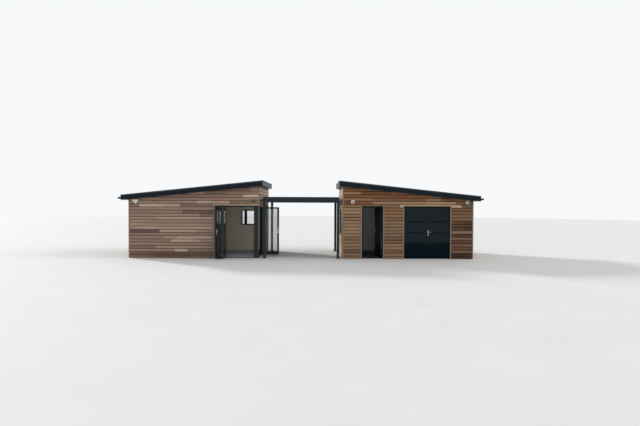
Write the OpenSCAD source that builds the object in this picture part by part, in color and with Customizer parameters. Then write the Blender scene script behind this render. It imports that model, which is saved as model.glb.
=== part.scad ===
// Garden office building: two timber-clad rooms with single-pitch roofs that rise towards each
// other, and a louvred pergola over the patio between them. Units are millimetres, +Z is up,
// +Y runs from the front to the back, and z = 0 is the paving.

/* [Rooms] */
// Width of each room along the front
room_w = 5200; // [5100:50:5500]
// Depth of each room from front to back
room_d = 3100; // [3050:50:3400]
// Clear width of the patio between the two rooms
patio_w = 3300; // [3250:50:3600]
// Height of the concrete slab above the paving
slab_h = 10; // [10:5:40]
// Thickness of the insulated wall panels
core_t = 120; // [100:10:140]
// Thickness of the cladding with its battens
cladding_t = 30; // [24:2:36]
// Thickness of the floor finish
floor_t = 20; // [14:2:24]

/* [Roofs] */
// Height of the roof deck's underside over the inner wall face
deck_high_z = 2885; // [2800:5:2950]
// Fall of both roofs, in millimetres for each metre
roof_fall = 105; // [90:5:120]
// Thickness of the roof deck, measured upright
deck_t = 176; // [160:4:200]
// Overhang of the roof past the inner, high wall
roof_over_high = 140; // [100:10:150]
// Overhang of the roof past the outer, low wall
roof_over_low = 230; // [200:10:300]
// Overhang of the roof past the front wall
roof_over_front = 200; // [150:10:250]
// Overhang of the roof past the back wall
roof_over_back = 150; // [100:10:250]

/* [Openings] */
// Height of the top of every door frame
head_z = 2100; // [2060:10:2120]
// Distance from the corner to the far jamb of the front folding doors
front_fold_end = 1790; // [1700:10:1900]
// Near edge of the single doorway, from the inner wall face
single_x0 = 770; // [740:10:820]
// Width of the single doorway
single_w = 840; // [800:10:850]
// Near edge of the double doorway, from the inner wall face
double_x0 = 2450; // [2400:10:2520]
// Width of the double doorway
double_w = 1830; // [1780:10:1900]
// How far the single door stands open, in degrees from shut
single_open = 80; // [60:5:85]
// Distance between the first two of the three front leaves when they stand folded
front_stack_step = 110; // [90:5:120]

/* [Pergola] */
// Overall width of the pergola
pergola_w = 3040; // [2900:10:3040]
// Overall depth of the pergola
pergola_d = 3000; // [2800:50:3000]
// Width of each square post
post_w = 100; // [90:5:110]
// Height of the underside of the pergola beams
beam_z = 2240; // [2200:10:2280]
// Depth of the pergola beams
beam_h = 210; // [190:10:220]
// Number of louvre blades
louvre_count = 13; // [12:1:13]
// Tilt of the louvre blades, in degrees
louvre_tilt = 20; // [5:5:35]

/* [Hidden] */
$fn = 48;

// Colours
cedar = [0.55, 0.37, 0.27];
pale_cedar = [0.70, 0.58, 0.47];
anthracite = [0.12, 0.14, 0.16];
plaster = [0.85, 0.85, 0.83];
concrete = [0.62, 0.62, 0.60];
glass = [0.6, 0.7, 0.75, 0.35];
steel = [0.75, 0.76, 0.77];
white = [0.93, 0.93, 0.92];
oak = [0.60, 0.56, 0.50];
slate = [0.20, 0.21, 0.23];

// Walls: the cladding stands outside the core, and z values start on the slab
wall_t = core_t + cladding_t;
wall_z0 = slab_h;
floor_z = slab_h + floor_t;

// Timber trims at the corners and door jambs, which cover the ends of the boards
jamb_trim_w = 45;
jamb_trim_proud = 4;

// Roof edge
fascia_t = 20;
soffit_t = 12;
covering_t = 6;
trim_proud = 8;
trim_on_top = 60;
trim_up = 14;
trim_down = 30;
fascia_top = deck_t + covering_t;

// Door and window frames
frame_t = 70;
front_frame_y = 40;
side_frame_x = 60;
fold_jamb = 60;
corner_post_w = 115;
corner_post_d = 105;
front_frame_x0 = side_frame_x + corner_post_w;
side_frame_y0 = front_frame_y + corner_post_d;
track_h = floor_t;
leaf_gap = 6;
glass_t = 24;
groove = 10;

// Folding leaves
leaf_t = 50;
leaf_stile = 70;
leaf_top_rail = 60;
leaf_bottom_rail = 130;
leaf_z0 = floor_z + leaf_gap;
leaf_h = head_z - fold_jamb - leaf_gap - leaf_z0;
leaf_side_gap = 8;
front_clear_x0 = front_frame_x0 + fold_jamb;
front_clear_x1 = front_fold_end - fold_jamb;
front_leaf_w = 495;
front_stack_in = 80;
front_stack_last = 170;
side_stack_y = 1100;
side_frame_end = 2680;
side_clear_y1 = side_frame_end - fold_jamb;
side_leaf_w = (side_clear_y1 - side_stack_y) / 2;
side_fold_angle = 2;
side_rail_z = 90;
frame_mid_y = front_frame_y + frame_t / 2;
frame_mid_x = side_frame_x + frame_t / 2;
knuckle_r = 9;
knuckle_h = 80;
knuckle_in = 10;
leaf_pin_in = 20;

// Windows: the room's looks out at the back, and the store's onto the patio
room_window = [450, 1240, 1200, 1900];
room_window_mullion = [980, 1105];
store_window = [1400, 2400, 850, 1950];
window_frame = 50;
window_depth = 60;
sill_out = 35;
sill_t = 14;
sill_fall = 8;

// Single door: opens inwards, with its hinges on the outer side of the doorway
single_x1 = single_x0 + single_w;
single_jamb = 40;
door_t = 44;
stop_w = 15;
door_gap = 7;
door_stop_gap = 6;
door_z0 = floor_z + leaf_gap;
single_frame_y0 = 60;
single_leaf_w = single_w - 2 * single_jamb - 2 * door_gap;
single_leaf_h = head_z - single_jamb - leaf_gap - door_z0;
hinge_r = 9;
hinge_h = 45;
hinge_plate = 30;
hinge_plate_t = 3;
single_pivot = [single_x1 - single_jamb - door_gap / 2, wall_t + hinge_r];
single_hinge_z = [250, 1800];
partition_x = single_x1 + 40;
partition_t = 100;

// Double doors: open outwards, and their outer faces lie flush with the frame
double_x1 = double_x0 + double_w;
double_jamb = 50;
double_y0 = 35;
double_frame_d = 90;
double_gap = 7;
double_leaf_w = (double_w - 2 * double_jamb - 3 * double_gap) / 2;
double_leaf_h = head_z - double_jamb - double_gap - door_z0;
double_pivot_y = double_y0 - hinge_r;
double_pivot_in = double_jamb + double_gap / 2;
double_hinge_z = [300, 1720];
panel_stile = 95;
panel_rail = 95;
panel_sink = 7;
panel_groove = 32;
panel_rows = 4;

// Lever handles
plate_w = 44;
fold_plate_w = 34;
plate_h = 240;
plate_t = 8;
lever_neck = 42;
fold_lever_neck = 28;
lever_r = 9;
lever_l = 122;
lever_bar = 14;
lever_z = 1070;
single_lever_up = 20;
fold_lever_up = 30;
lock_drop = 90;
lock_r = 12;
handle_edge = 45;

// Rainwater goods
gutter_w = 110;
gutter_h = 75;
gutter_wall = 5;
gutter_drop = 46;
pipe_r = 34;
pipe_socket = 5;
pipe_y = room_d - 260;
pipe_off = 46;
pipe_end_z = 70;

// Small fittings, placed from the inner wall face
wall_light_in = 240;
wall_light_z = 2290;
wall_light_w = 150;
wall_light_h = 96;
wall_light_rim = 14;
camera_in = [398, 4966];
camera_z = 2260;
camera_r = 74;
camera_d = 48;
ball_r = 46;
lens_r = 28;
camera_dip = 12;
security_light_in = 4905;
security_light_z = 2230;

// Pergola
foot_w = 180;
foot_t = 10;
foot_bolt = 70;
foot_bolt_r = 7;
skirt_h = 50;
skirt_w = 120;
beam_cap = 40;
beam_groove = 6;
beam_groove_h = 12;
blade_chord = 205;
blade_t = 30;
blade_lip = 14;
blade_lip_t = 6;
pin_l = 25;
pin_r = 8;

// The model's origin is the middle of its overall box, so the front wall stands off it
fold_reach = front_leaf_w - frame_mid_y;
back_reach = room_d + roof_over_back + trim_proud;
front_y = (fold_reach - back_reach) / 2;
pergola_y = (room_d - pergola_d) / 2;

function deck_z(x) = deck_high_z - x * roof_fall / 1000;

// Puts a shape drawn from the inner, front, bottom corner of a room in its place
module in_store() translate([patio_w / 2, front_y, 0]) children();
module in_room() mirror([1, 0, 0]) in_store() children();

// Slab that follows the roof's slope, between two heights over the deck's underside
module sloped_slab(x0, x1, y0, y1, low, high) {
    translate([0, y1, 0]) rotate([90, 0, 0]) linear_extrude(y1 - y0)
        polygon([[x0, deck_z(x0) + low], [x1, deck_z(x1) + low],
                 [x1, deck_z(x1) + high], [x0, deck_z(x0) + high]]);
}

// Upright slab that ends under the roof's slope
module wall_slab(x0, x1, y0, y1, z0) {
    translate([0, y1, 0]) rotate([90, 0, 0]) linear_extrude(y1 - y0)
        polygon([[x0, z0], [x1, z0], [x1, deck_z(x1)], [x0, deck_z(x0)]]);
}

module block(x0, x1, y0, y1, z0, z1) translate([x0, y0, z0]) cube([x1 - x0, y1 - y0, z1 - z0]);

// Slab and floor
module base() {
    color(concrete)
        block(cladding_t, room_w - cladding_t, cladding_t, room_d - cladding_t, 0, slab_h);
}

module inside_floor() {
    block(wall_t, room_w - wall_t, wall_t, room_d - wall_t, slab_h, floor_z);
}

module room_floor() {
    color(oak) union() {
        inside_floor();
        block(front_clear_x0, front_clear_x1, front_frame_y + frame_t, wall_t + 1, slab_h, floor_z);
        block(side_frame_x + frame_t, wall_t + 1, side_frame_y0 + fold_jamb, side_clear_y1,
              slab_h, floor_z);
    }
}

module store_floor() {
    color(slate) union() {
        inside_floor();
        block(double_x0, double_x1, double_y0 + double_frame_d, wall_t + 1, slab_h, floor_z);
    }
}

// Wall panels shared by both rooms
module outer_wall() {
    color(plaster)
        wall_slab(room_w - wall_t, room_w - cladding_t, wall_t, room_d - wall_t, wall_z0);
}

module back_wall() {
    wall_slab(cladding_t, room_w - cladding_t, room_d - wall_t, room_d - cladding_t, wall_z0);
}

// Hole for a window in the back wall, drawn as [x0, x1, z0, z1]
module room_window_hole() {
    block(room_window[0], room_window[1], room_d - wall_t - 1, room_d + 1,
          room_window[2], room_window[3]);
}

// Hole for a window in the inner wall, drawn as [y0, y1, z0, z1]
module store_window_hole() {
    block(-1, wall_t + 1, store_window[0], store_window[1], store_window[2], store_window[3]);
}

// Walls of the garden room
module room_front_wall() {
    color(plaster)
        wall_slab(front_fold_end, room_w - cladding_t, cladding_t, wall_t, wall_z0);
}

module room_front_header() {
    color(plaster) wall_slab(cladding_t, front_fold_end, cladding_t, wall_t, head_z);
}

module room_inner_pier() {
    color(plaster)
        block(cladding_t, wall_t, side_frame_end, room_d - wall_t, wall_z0, head_z);
}

module room_inner_header() {
    color(plaster) wall_slab(cladding_t, wall_t, wall_t, room_d - wall_t, head_z);
}

module room_back_wall() {
    color(plaster) difference() {
        back_wall();
        room_window_hole();
    }
}

// Walls of the store
module store_front_piers() {
    color(plaster) {
        wall_slab(cladding_t, single_x0, cladding_t, wall_t, wall_z0);
        wall_slab(single_x1, double_x0, cladding_t, wall_t, wall_z0);
        wall_slab(double_x1, room_w - cladding_t, cladding_t, wall_t, wall_z0);
    }
}

module store_front_headers() {
    color(plaster) {
        wall_slab(single_x0, single_x1, cladding_t, wall_t, head_z);
        wall_slab(double_x0, double_x1, cladding_t, wall_t, head_z);
    }
}

module store_inner_wall() {
    color(plaster) difference() {
        wall_slab(cladding_t, wall_t, wall_t, room_d - wall_t, wall_z0);
        store_window_hole();
    }
}

module store_partition() {
    color(plaster)
        wall_slab(partition_x, partition_x + partition_t, wall_t, room_d - wall_t, floor_z);
}

// Cladding: a skin round all four sides, open at the doors and windows
module cladding_skin() {
    difference() {
        wall_slab(0, room_w, 0, room_d, wall_z0);
        block(cladding_t, room_w - cladding_t, cladding_t, room_d - cladding_t,
              wall_z0 - 1, deck_high_z + 1);
    }
}

module room_doorway_hole() {
    block(-2 * jamb_trim_proud, front_fold_end, -2 * jamb_trim_proud, side_frame_end,
          wall_z0 - 1, head_z);
}

module store_doorway_holes() {
    block(single_x0, single_x1, -2 * jamb_trim_proud, wall_t, wall_z0 - 1, head_z);
    block(double_x0, double_x1, -2 * jamb_trim_proud, wall_t, wall_z0 - 1, head_z);
}

// Places of the trims: all four corners, and the jambs named in xs on the front wall
module trim_zones(xs) {
    far = jamb_trim_w - jamb_trim_proud;
    for (x = [-2 * jamb_trim_proud, room_w - far], y = [-2 * jamb_trim_proud, room_d - far])
        block(x, x + far + 2 * jamb_trim_proud, y, y + far + 2 * jamb_trim_proud, 0, deck_high_z);
    for (x = xs)
        block(x, x + jamb_trim_w, -2 * jamb_trim_proud, cladding_t, 0, head_z);
}

module room_trim_zones() {
    trim_zones([front_fold_end]);
    block(-2 * jamb_trim_proud, cladding_t, side_frame_end, side_frame_end + jamb_trim_w,
          0, head_z);
}

module store_trim_zones() {
    trim_zones([single_x0 - jamb_trim_w, single_x1, double_x0 - jamb_trim_w, double_x1]);
}

// Skin that the trims are cut from: a little proud of the boards, and ending under the soffit
module trim_skin() {
    difference() {
        translate([0, 0, -soffit_t])
            wall_slab(-jamb_trim_proud, room_w + jamb_trim_proud, -jamb_trim_proud,
                      room_d + jamb_trim_proud, wall_z0 + soffit_t);
        block(cladding_t, room_w - cladding_t, cladding_t, room_d - cladding_t,
              wall_z0 - 1, deck_high_z + 1);
    }
}

module room_cladding() {
    color(cedar) difference() {
        cladding_skin();
        room_doorway_hole();
        room_window_hole();
        room_trim_zones();
    }
}

module room_trims() {
    color(pale_cedar) difference() {
        intersection() {
            trim_skin();
            union() room_trim_zones();
        }
        room_doorway_hole();
    }
}

module store_cladding() {
    color(cedar) difference() {
        cladding_skin();
        store_doorway_holes();
        store_window_hole();
        store_trim_zones();
    }
}

module store_trims() {
    color(pale_cedar) intersection() {
        trim_skin();
        union() store_trim_zones();
    }
}

// Roof: a deck on the walls, boxed in by a fascia and soffit, under a covering with edge trims
module roof_deck() {
    color(plaster)
        sloped_slab(fascia_t - roof_over_high, room_w + roof_over_low - fascia_t,
                    fascia_t - roof_over_front, room_d + roof_over_back - fascia_t, 0, deck_t);
}

module roof_edge() {
    color(anthracite) difference() {
        sloped_slab(-roof_over_high, room_w + roof_over_low, -roof_over_front,
                    room_d + roof_over_back, -soffit_t, fascia_top);
        sloped_slab(fascia_t - roof_over_high, room_w + roof_over_low - fascia_t,
                    fascia_t - roof_over_front, room_d + roof_over_back - fascia_t,
                    0, fascia_top + 1);
        sloped_slab(0, room_w, 0, room_d, -soffit_t - 1, 1);
    }
}

module roof_covering() {
    x0 = -roof_over_high;
    x1 = room_w + roof_over_low;
    y0 = -roof_over_front;
    y1 = room_d + roof_over_back;
    color(anthracite) union() {
        sloped_slab(x0 + fascia_t, x1 - fascia_t, y0 + fascia_t, y1 - fascia_t, deck_t, fascia_top);
        difference() {
            sloped_slab(x0 - trim_proud, x1 + trim_proud, y0 - trim_proud, y1 + trim_proud,
                        fascia_top - trim_down, fascia_top + trim_up);
            sloped_slab(x0, x1, y0, y1, fascia_top - trim_down - 1, fascia_top);
            sloped_slab(x0 + trim_on_top, x1 - trim_on_top, y0 + trim_on_top, y1 - trim_on_top,
                        fascia_top - 1, fascia_top + trim_up + 1);
        }
    }
}

// Corner post under the headers of the garden room
module corner_post() {
    color(anthracite)
        block(side_frame_x, front_frame_x0, front_frame_y, side_frame_y0, wall_z0, head_z);
}

// Frames of the folding doors
module front_fold_frame() {
    color(anthracite) difference() {
        block(front_frame_x0, front_fold_end, front_frame_y, front_frame_y + frame_t,
              wall_z0, head_z);
        block(front_clear_x0, front_clear_x1, 0, wall_t, wall_z0 + track_h, head_z - fold_jamb);
    }
}

// The two fixed lights of the side screen, as [y0, y1]
fixed_light = [side_frame_y0 + fold_jamb, side_stack_y - fold_jamb];

module side_fold_frame() {
    color(anthracite) difference() {
        block(side_frame_x, side_frame_x + frame_t, side_frame_y0, side_frame_end,
              wall_z0, head_z);
        block(0, wall_t, side_stack_y, side_clear_y1, wall_z0 + track_h, head_z - fold_jamb);
        block(0, wall_t, fixed_light[0], fixed_light[1], side_rail_z, head_z - fold_jamb);
        fixed_pane();
    }
}

module fixed_pane() {
    block(frame_mid_x - glass_t / 2, frame_mid_x + glass_t / 2, fixed_light[0] - groove,
          fixed_light[1] + groove, side_rail_z - groove, head_z - fold_jamb + groove);
}

// One glazed leaf, drawn from its hinge edge along x, with its middle plane at y = 0
module leaf_frame(w) {
    difference() {
        translate([0, -leaf_t / 2, 0]) cube([w, leaf_t, leaf_h]);
        translate([leaf_stile, -leaf_t, leaf_bottom_rail])
            cube([w - 2 * leaf_stile, 2 * leaf_t, leaf_h - leaf_bottom_rail - leaf_top_rail]);
        leaf_pane(w);
    }
}

module leaf_pane(w) {
    translate([leaf_stile - groove, -glass_t / 2, leaf_bottom_rail - groove])
        cube([w - 2 * (leaf_stile - groove), glass_t,
              leaf_h - leaf_bottom_rail - leaf_top_rail + 2 * groove]);
}

// Places the two leaves of a folded pair. The jamb face is at x = 0, the doorway runs to -x,
// the frame's middle plane is y = 0 and the pair folds out to -y
module fold_places(w, fold_angle) {
    start_x = -leaf_side_gap - leaf_t / 2;
    fold_x = start_x - w * sin(fold_angle) - (leaf_t + leaf_gap) / cos(fold_angle);
    translate([start_x, 0, 0]) rotate([0, 0, -90 - fold_angle]) children();
    translate([fold_x, -w * cos(fold_angle), 0]) rotate([0, 0, 90 + fold_angle]) children();
}

module fold_pair(w, fold_angle) {
    start_x = -leaf_side_gap - leaf_t / 2;
    knuckle_x = start_x - w * sin(fold_angle) - (leaf_t + leaf_gap) / 2 / cos(fold_angle);
    end_x = start_x - 2 * w * sin(fold_angle) - (leaf_t + leaf_gap) / cos(fold_angle);
    jamb_hinge_y = -frame_t / 2 - knuckle_r;
    union() {
        fold_places(w, fold_angle) leaf_frame(w);
        for (z = [leaf_h * 0.1, leaf_h * 0.5, leaf_h * 0.88]) {
            // Knuckle between the two leaves
            translate([knuckle_x, -w * cos(fold_angle) + knuckle_in, z])
                cylinder(r = knuckle_r, h = knuckle_h);
            // Hinge on the jamb: one plate on the frame's outer face, the other let into the leaf
            translate([-leaf_side_gap / 2, jamb_hinge_y, z]) cylinder(r = knuckle_r, h = knuckle_h);
            translate([-leaf_side_gap / 2, -frame_t / 2 - hinge_plate_t, z])
                cube([hinge_plate, hinge_plate_t, knuckle_h]);
            translate([start_x, jamb_hinge_y - hinge_plate_t, z])
                cube([-start_x - leaf_side_gap / 2, hinge_plate_t, knuckle_h]);
        }
        // Hanger that runs in the head track
        translate([end_x, 0, leaf_h - 1]) cylinder(r = knuckle_r, h = leaf_gap + 1);
    }
}

// Places the three front leaves, which turn on pins in the track and stack side by side, square
// to the front. Each runs along x from its pin's edge
module front_leaf_place(x) translate([x, frame_mid_y, leaf_z0]) rotate([0, 0, -90]) children();
module front_leaf_places() {
    front_leaf_place(front_clear_x1 - front_stack_in) children();
    front_leaf_place(front_clear_x1 - front_stack_in - front_stack_step) children();
    front_leaf_place(front_clear_x1 - front_stack_in - front_stack_step - front_stack_last) children();
}

module pinned_leaf(w) union() {
    leaf_frame(w);
    translate([leaf_pin_in, 0, leaf_h - 1]) cylinder(r = knuckle_r, h = leaf_gap + 1);
    translate([leaf_pin_in, 0, -leaf_gap]) cylinder(r = knuckle_r, h = leaf_gap + 1);
}

module at_side_pair() translate([frame_mid_x, side_stack_y, leaf_z0]) rotate([0, 0, -90]) children();

module front_fold_leaves() {
    color(anthracite) front_leaf_places() pinned_leaf(front_leaf_w);
}

module side_fold_leaves() {
    color(anthracite) at_side_pair() fold_pair(side_leaf_w, side_fold_angle);
}

module room_glass() {
    color(glass) {
        front_leaf_places() leaf_pane(front_leaf_w);
        at_side_pair() fold_places(side_leaf_w, side_fold_angle) leaf_pane(side_leaf_w);
        fixed_pane();
        room_window_lights(groove);
    }
}

// Lever on the outer face of the leaf that is hinged to the jamb, at its free edge
module fold_lever(w, fold_angle) {
    translate([-leaf_side_gap - leaf_t / 2, 0, fold_lever_up - leaf_z0]) rotate([0, 0, -90 - fold_angle])
        translate([w - leaf_stile / 2, leaf_t / 2, 0]) mirror([0, 1, 0]) mirror([1, 0, 0])
            lever_handle(fold_plate_w, fold_lever_neck);
}

module fold_handles() {
    color(white) {
        front_leaf_place(front_clear_x1 - front_stack_in)
            translate([front_leaf_w - leaf_stile / 2, -leaf_t / 2, fold_lever_up - leaf_z0])
                mirror([1, 0, 0]) lever_handle(fold_plate_w, fold_lever_neck);
        at_side_pair() fold_lever(side_leaf_w, side_fold_angle);
    }
}

// Windows
module room_window_lights(grow) {
    y = room_d - wall_t / 2;
    for (span = [[room_window[0] + window_frame, room_window_mullion[0]],
                 [room_window_mullion[1], room_window[1] - window_frame]])
        block(span[0] - grow, span[1] + grow, y - glass_t / 2, y + glass_t / 2,
              room_window[2] + window_frame - grow, room_window[3] - window_frame + grow);
}

// Sill under a window, drawn to stand out to +y from a frame whose face is at y = 0
module window_sill(x0, x1, top_z, depth) {
    translate([x0, 0, top_z]) rotate([90, 0, 90]) linear_extrude(x1 - x0)
        polygon([[-1, -sill_t], [depth, -sill_t - sill_fall], [depth, -sill_fall], [-1, 0]]);
}

module room_window_frame() {
    y0 = room_d - wall_t / 2 - window_depth / 2;
    color(anthracite) translate([0, y0 + window_depth, 0])
        window_sill(room_window[0], room_window[1], room_window[2] + window_frame,
                    wall_t / 2 - window_depth / 2 + sill_out);
    color(anthracite) difference() {
        block(room_window[0], room_window[1], y0, y0 + window_depth,
              room_window[2], room_window[3]);
        for (span = [[room_window[0] + window_frame, room_window_mullion[0]],
                     [room_window_mullion[1], room_window[1] - window_frame]])
            block(span[0], span[1], y0 - 1, y0 + window_depth + 1,
                  room_window[2] + window_frame, room_window[3] - window_frame);
        room_window_lights(groove);
    }
}

module store_window_light(grow) {
    x = wall_t / 2;
    block(x - glass_t / 2, x + glass_t / 2,
          store_window[0] + window_frame - grow, store_window[1] - window_frame + grow,
          store_window[2] + window_frame - grow, store_window[3] - window_frame + grow);
}

module store_window_frame() {
    x0 = wall_t / 2 - window_depth / 2;
    color(anthracite) translate([x0, 0, 0]) rotate([0, 0, 90])
        window_sill(store_window[0], store_window[1], store_window[2] + window_frame,
                    wall_t / 2 - window_depth / 2 + sill_out);
    color(anthracite) difference() {
        block(x0, x0 + window_depth, store_window[0], store_window[1],
              store_window[2], store_window[3]);
        block(x0 - 1, x0 + window_depth + 1,
              store_window[0] + window_frame, store_window[1] - window_frame,
              store_window[2] + window_frame, store_window[3] - window_frame);
        store_window_light(groove);
    }
}

module store_window_glass() {
    color(glass) store_window_light(groove);
}

// Half of a lift-off hinge: a knuckle on the pivot at x = 0, y = 0, and a plate towards -x
// whose face lies on the door or frame at y = face_y
module hinge_half(face_y) {
    union() {
        cylinder(r = hinge_r, h = hinge_h);
        translate([-hinge_plate, min(face_y, face_y + sign(-face_y) * hinge_plate_t), 0])
            cube([hinge_plate, hinge_plate_t, hinge_h]);
    }
}

// Single door, with its leaf drawn shut and turned about its pivot
module single_door_frame() {
    x0 = single_x0 + single_jamb;
    x1 = single_x1 - single_jamb;
    stop_y = wall_t - door_t - door_stop_gap;
    color(anthracite) union() {
        difference() {
            block(single_x0, single_x1, single_frame_y0, wall_t, wall_z0, head_z);
            block(x0, x1, stop_y, wall_t + 1, wall_z0 + track_h, head_z - single_jamb);
            block(x0 + stop_w, x1 - stop_w, single_frame_y0 - 1, stop_y + 1,
                  wall_z0 + track_h, head_z - single_jamb - stop_w);
        }
        for (z = single_hinge_z)
            translate([single_pivot[0], single_pivot[1], z]) mirror([1, 0, 0])
                hinge_half(-hinge_r);
    }
}

module turned_single_door() {
    translate([single_pivot[0], single_pivot[1], 0]) rotate([0, 0, -single_open])
        translate([-single_pivot[0], -single_pivot[1], 0]) children();
}

module single_door_leaf() {
    x1 = single_x1 - single_jamb - door_gap;
    color(anthracite) turned_single_door() union() {
        difference() {
            block(x1 - single_leaf_w, x1, wall_t - door_t, wall_t, door_z0,
                  door_z0 + single_leaf_h);
            door_panels(x1 - single_leaf_w, single_leaf_w, wall_t - door_t, single_leaf_h);
        }
        for (z = single_hinge_z)
            translate([single_pivot[0], single_pivot[1], z + hinge_h + 1]) hinge_half(-hinge_r);
    }
}

// Sunk field and grooves in the outer face of a door leaf
module door_panels(x0, w, face_y, h) {
    row_h = (h - 2 * panel_rail) / panel_rows;
    z0 = door_z0 + panel_rail;
    translate([x0 + panel_stile, face_y - 1, z0])
        cube([w - 2 * panel_stile, panel_sink + 1, h - 2 * panel_rail]);
    for (row = [1 : panel_rows - 1])
        translate([x0 + panel_stile, face_y + panel_sink - 1, z0 + row * row_h - panel_groove / 2])
            cube([w - 2 * panel_stile, panel_sink + 1, panel_groove]);
}

// Lever handle on a face at y = 0 that looks to -y, with the lever pointing to +x
module lever_handle(plate, neck = lever_neck) {
    union() {
        translate([-plate / 2, -plate_t, lever_z - plate_h * 0.66])
            cube([plate, plate_t, plate_h]);
        translate([0, 0, lever_z]) rotate([90, 0, 0])
            cylinder(r = lever_r + 2, h = plate_t + neck + lever_r);
        // Flat bar, returned towards the door at its end
        translate([0, -plate_t - neck, lever_z - lever_r]) linear_extrude(2 * lever_r)
            polygon([[0, -lever_bar / 2], [lever_l, -lever_bar / 2], [lever_l, neck * 0.7],
                     [lever_l - lever_bar, neck * 0.7], [lever_l - lever_bar, lever_bar / 2],
                     [0, lever_bar / 2]]);
        // Cylinder of the lock
        translate([0, 0, lever_z - lock_drop]) rotate([90, 0, 0])
            cylinder(r = lock_r, h = plate_t + 4);
    }
}

module single_door_handles() {
    x = single_x0 + single_jamb + door_gap + handle_edge;
    color(anthracite) turned_single_door() {
        translate([x, wall_t - door_t, single_lever_up]) lever_handle(plate_w);
        translate([x, wall_t, single_lever_up]) mirror([0, 1, 0]) lever_handle(plate_w);
    }
}

// Double doors
module double_door_frame() {
    x0 = double_x0 + double_jamb;
    x1 = double_x1 - double_jamb;
    stop_y = double_y0 + door_t + door_stop_gap;
    color(anthracite) union() {
        difference() {
            block(double_x0, double_x1, double_y0, double_y0 + double_frame_d, wall_z0, head_z);
            block(x0, x1, double_y0 - 1, stop_y, wall_z0 + track_h, head_z - double_jamb);
            block(x0 + stop_w, x1 - stop_w, stop_y - 1, double_y0 + double_frame_d + 1,
                  wall_z0 + track_h, head_z - double_jamb - stop_w);
        }
        for (z = double_hinge_z) {
            translate([double_x0 + double_pivot_in, double_pivot_y, z]) hinge_half(hinge_r);
            translate([double_x1 - double_pivot_in, double_pivot_y, z]) mirror([1, 0, 0])
                hinge_half(hinge_r);
        }
    }
}

// Leaf drawn from its hinge edge at x = 0 towards +x, as the left one stands
module double_leaf() {
    union() {
        difference() {
            block(0, double_leaf_w, double_y0, double_y0 + door_t, door_z0,
                  door_z0 + double_leaf_h);
            door_panels(0, double_leaf_w, double_y0, double_leaf_h);
        }
        for (z = double_hinge_z)
            translate([-double_gap / 2, double_pivot_y, z + hinge_h + 1]) mirror([1, 0, 0])
                hinge_half(hinge_r);
    }
}

module double_door_left_leaf() {
    color(anthracite) translate([double_x0 + double_jamb + double_gap, 0, 0]) double_leaf();
}

module double_door_right_leaf() {
    color(anthracite) translate([double_x1 - double_jamb - double_gap, 0, 0])
        mirror([1, 0, 0]) double_leaf();
}

module double_door_handles() {
    x = double_x1 - double_jamb - double_gap - double_leaf_w + handle_edge;
    color(steel) {
        translate([x, double_y0, 0]) lever_handle(plate_w);
        translate([x, double_y0 + door_t, 0]) mirror([0, 1, 0]) lever_handle(plate_w);
    }
}

// Gutter on the fascia of the low side, and the pipe that brings its water down the wall
function gutter_z() = deck_z(room_w + roof_over_low) + fascia_top - trim_down - gutter_drop;

module gutter() {
    x0 = room_w + roof_over_low;
    y0 = -roof_over_front;
    y1 = room_d + roof_over_back;
    difference() {
        block(x0, x0 + gutter_w, y0, y1, gutter_z() - gutter_h, gutter_z());
        block(x0 + gutter_wall, x0 + gutter_w - gutter_wall, y0 + gutter_wall, y1 - gutter_wall,
              gutter_z() - gutter_h + gutter_wall, gutter_z() + 1);
    }
}

module downpipe() {
    top = gutter_z() - gutter_h;
    out_x = room_w + roof_over_low + gutter_w / 2;
    in_x = room_w + pipe_off;
    drop = out_x - in_x;
    knee_z = top - 60;
    union() {
        translate([out_x, pipe_y, knee_z]) cylinder(r = pipe_r, h = top - knee_z);
        translate([out_x, pipe_y, knee_z]) rotate([0, -135, 0])
            cylinder(r = pipe_r, h = drop * sqrt(2));
        translate([in_x, pipe_y, pipe_end_z]) cylinder(r = pipe_r, h = knee_z - drop - pipe_end_z);
        for (knee = [[out_x, knee_z], [in_x, knee_z - drop]])
            translate([knee[0], pipe_y, knee[1]]) sphere(r = pipe_r + pipe_socket);
        for (z = [350, 1650])
            block(room_w, in_x, pipe_y - 20, pipe_y + 20, z, z + 30);
    }
}

module gutters() {
    color(anthracite) {
        in_room() gutter();
        in_store() gutter();
    }
}

module downpipes() {
    color(anthracite) {
        in_room() downpipe();
        in_store() downpipe();
    }
}

// Small round wall light, drawn on a wall at y = 0 that looks to -y
module long_round(w, h, t) union() {
    for (x = [h / 2 - w / 2, w / 2 - h / 2]) translate([x, 0, 0]) cylinder(r = h / 2, h = t);
    translate([h / 2 - w / 2, -h / 2, 0]) cube([w - h, h, t]);
}

module wall_light() {
    rotate([90, 0, 0]) union() {
        long_round(wall_light_w, wall_light_h, 22);
        translate([0, 0, 21])
            long_round(wall_light_w - 2 * wall_light_rim, wall_light_h - 2 * wall_light_rim, 15);
    }
}

module corner_lights() {
    translate([wall_light_in, 0, wall_light_z]) wall_light();
    translate([0, wall_light_in, wall_light_z]) rotate([0, 0, -90]) wall_light();
}

module wall_lights() {
    color(slate) {
        in_room() corner_lights();
        in_store() corner_lights();
    }
}

// Turret camera: a flared round base that holds a ball with a lens
module turret_camera() {
    union() {
        rotate([90, 0, 0]) rotate_extrude()
            polygon([[0, 0], [camera_r, 0], [camera_r, 16], [camera_r - 4, 24],
                     [camera_r - 14, camera_d], [0, camera_d]]);
        translate([0, -camera_d, 0]) sphere(r = ball_r);
        translate([0, -camera_d, 0]) rotate([90 + camera_dip, 0, 0])
            cylinder(r = lens_r, h = ball_r + 3);
    }
}

module security_cameras() {
    color(white) for (x = camera_in)
        translate([x, 0, camera_z]) turret_camera();
}

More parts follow.
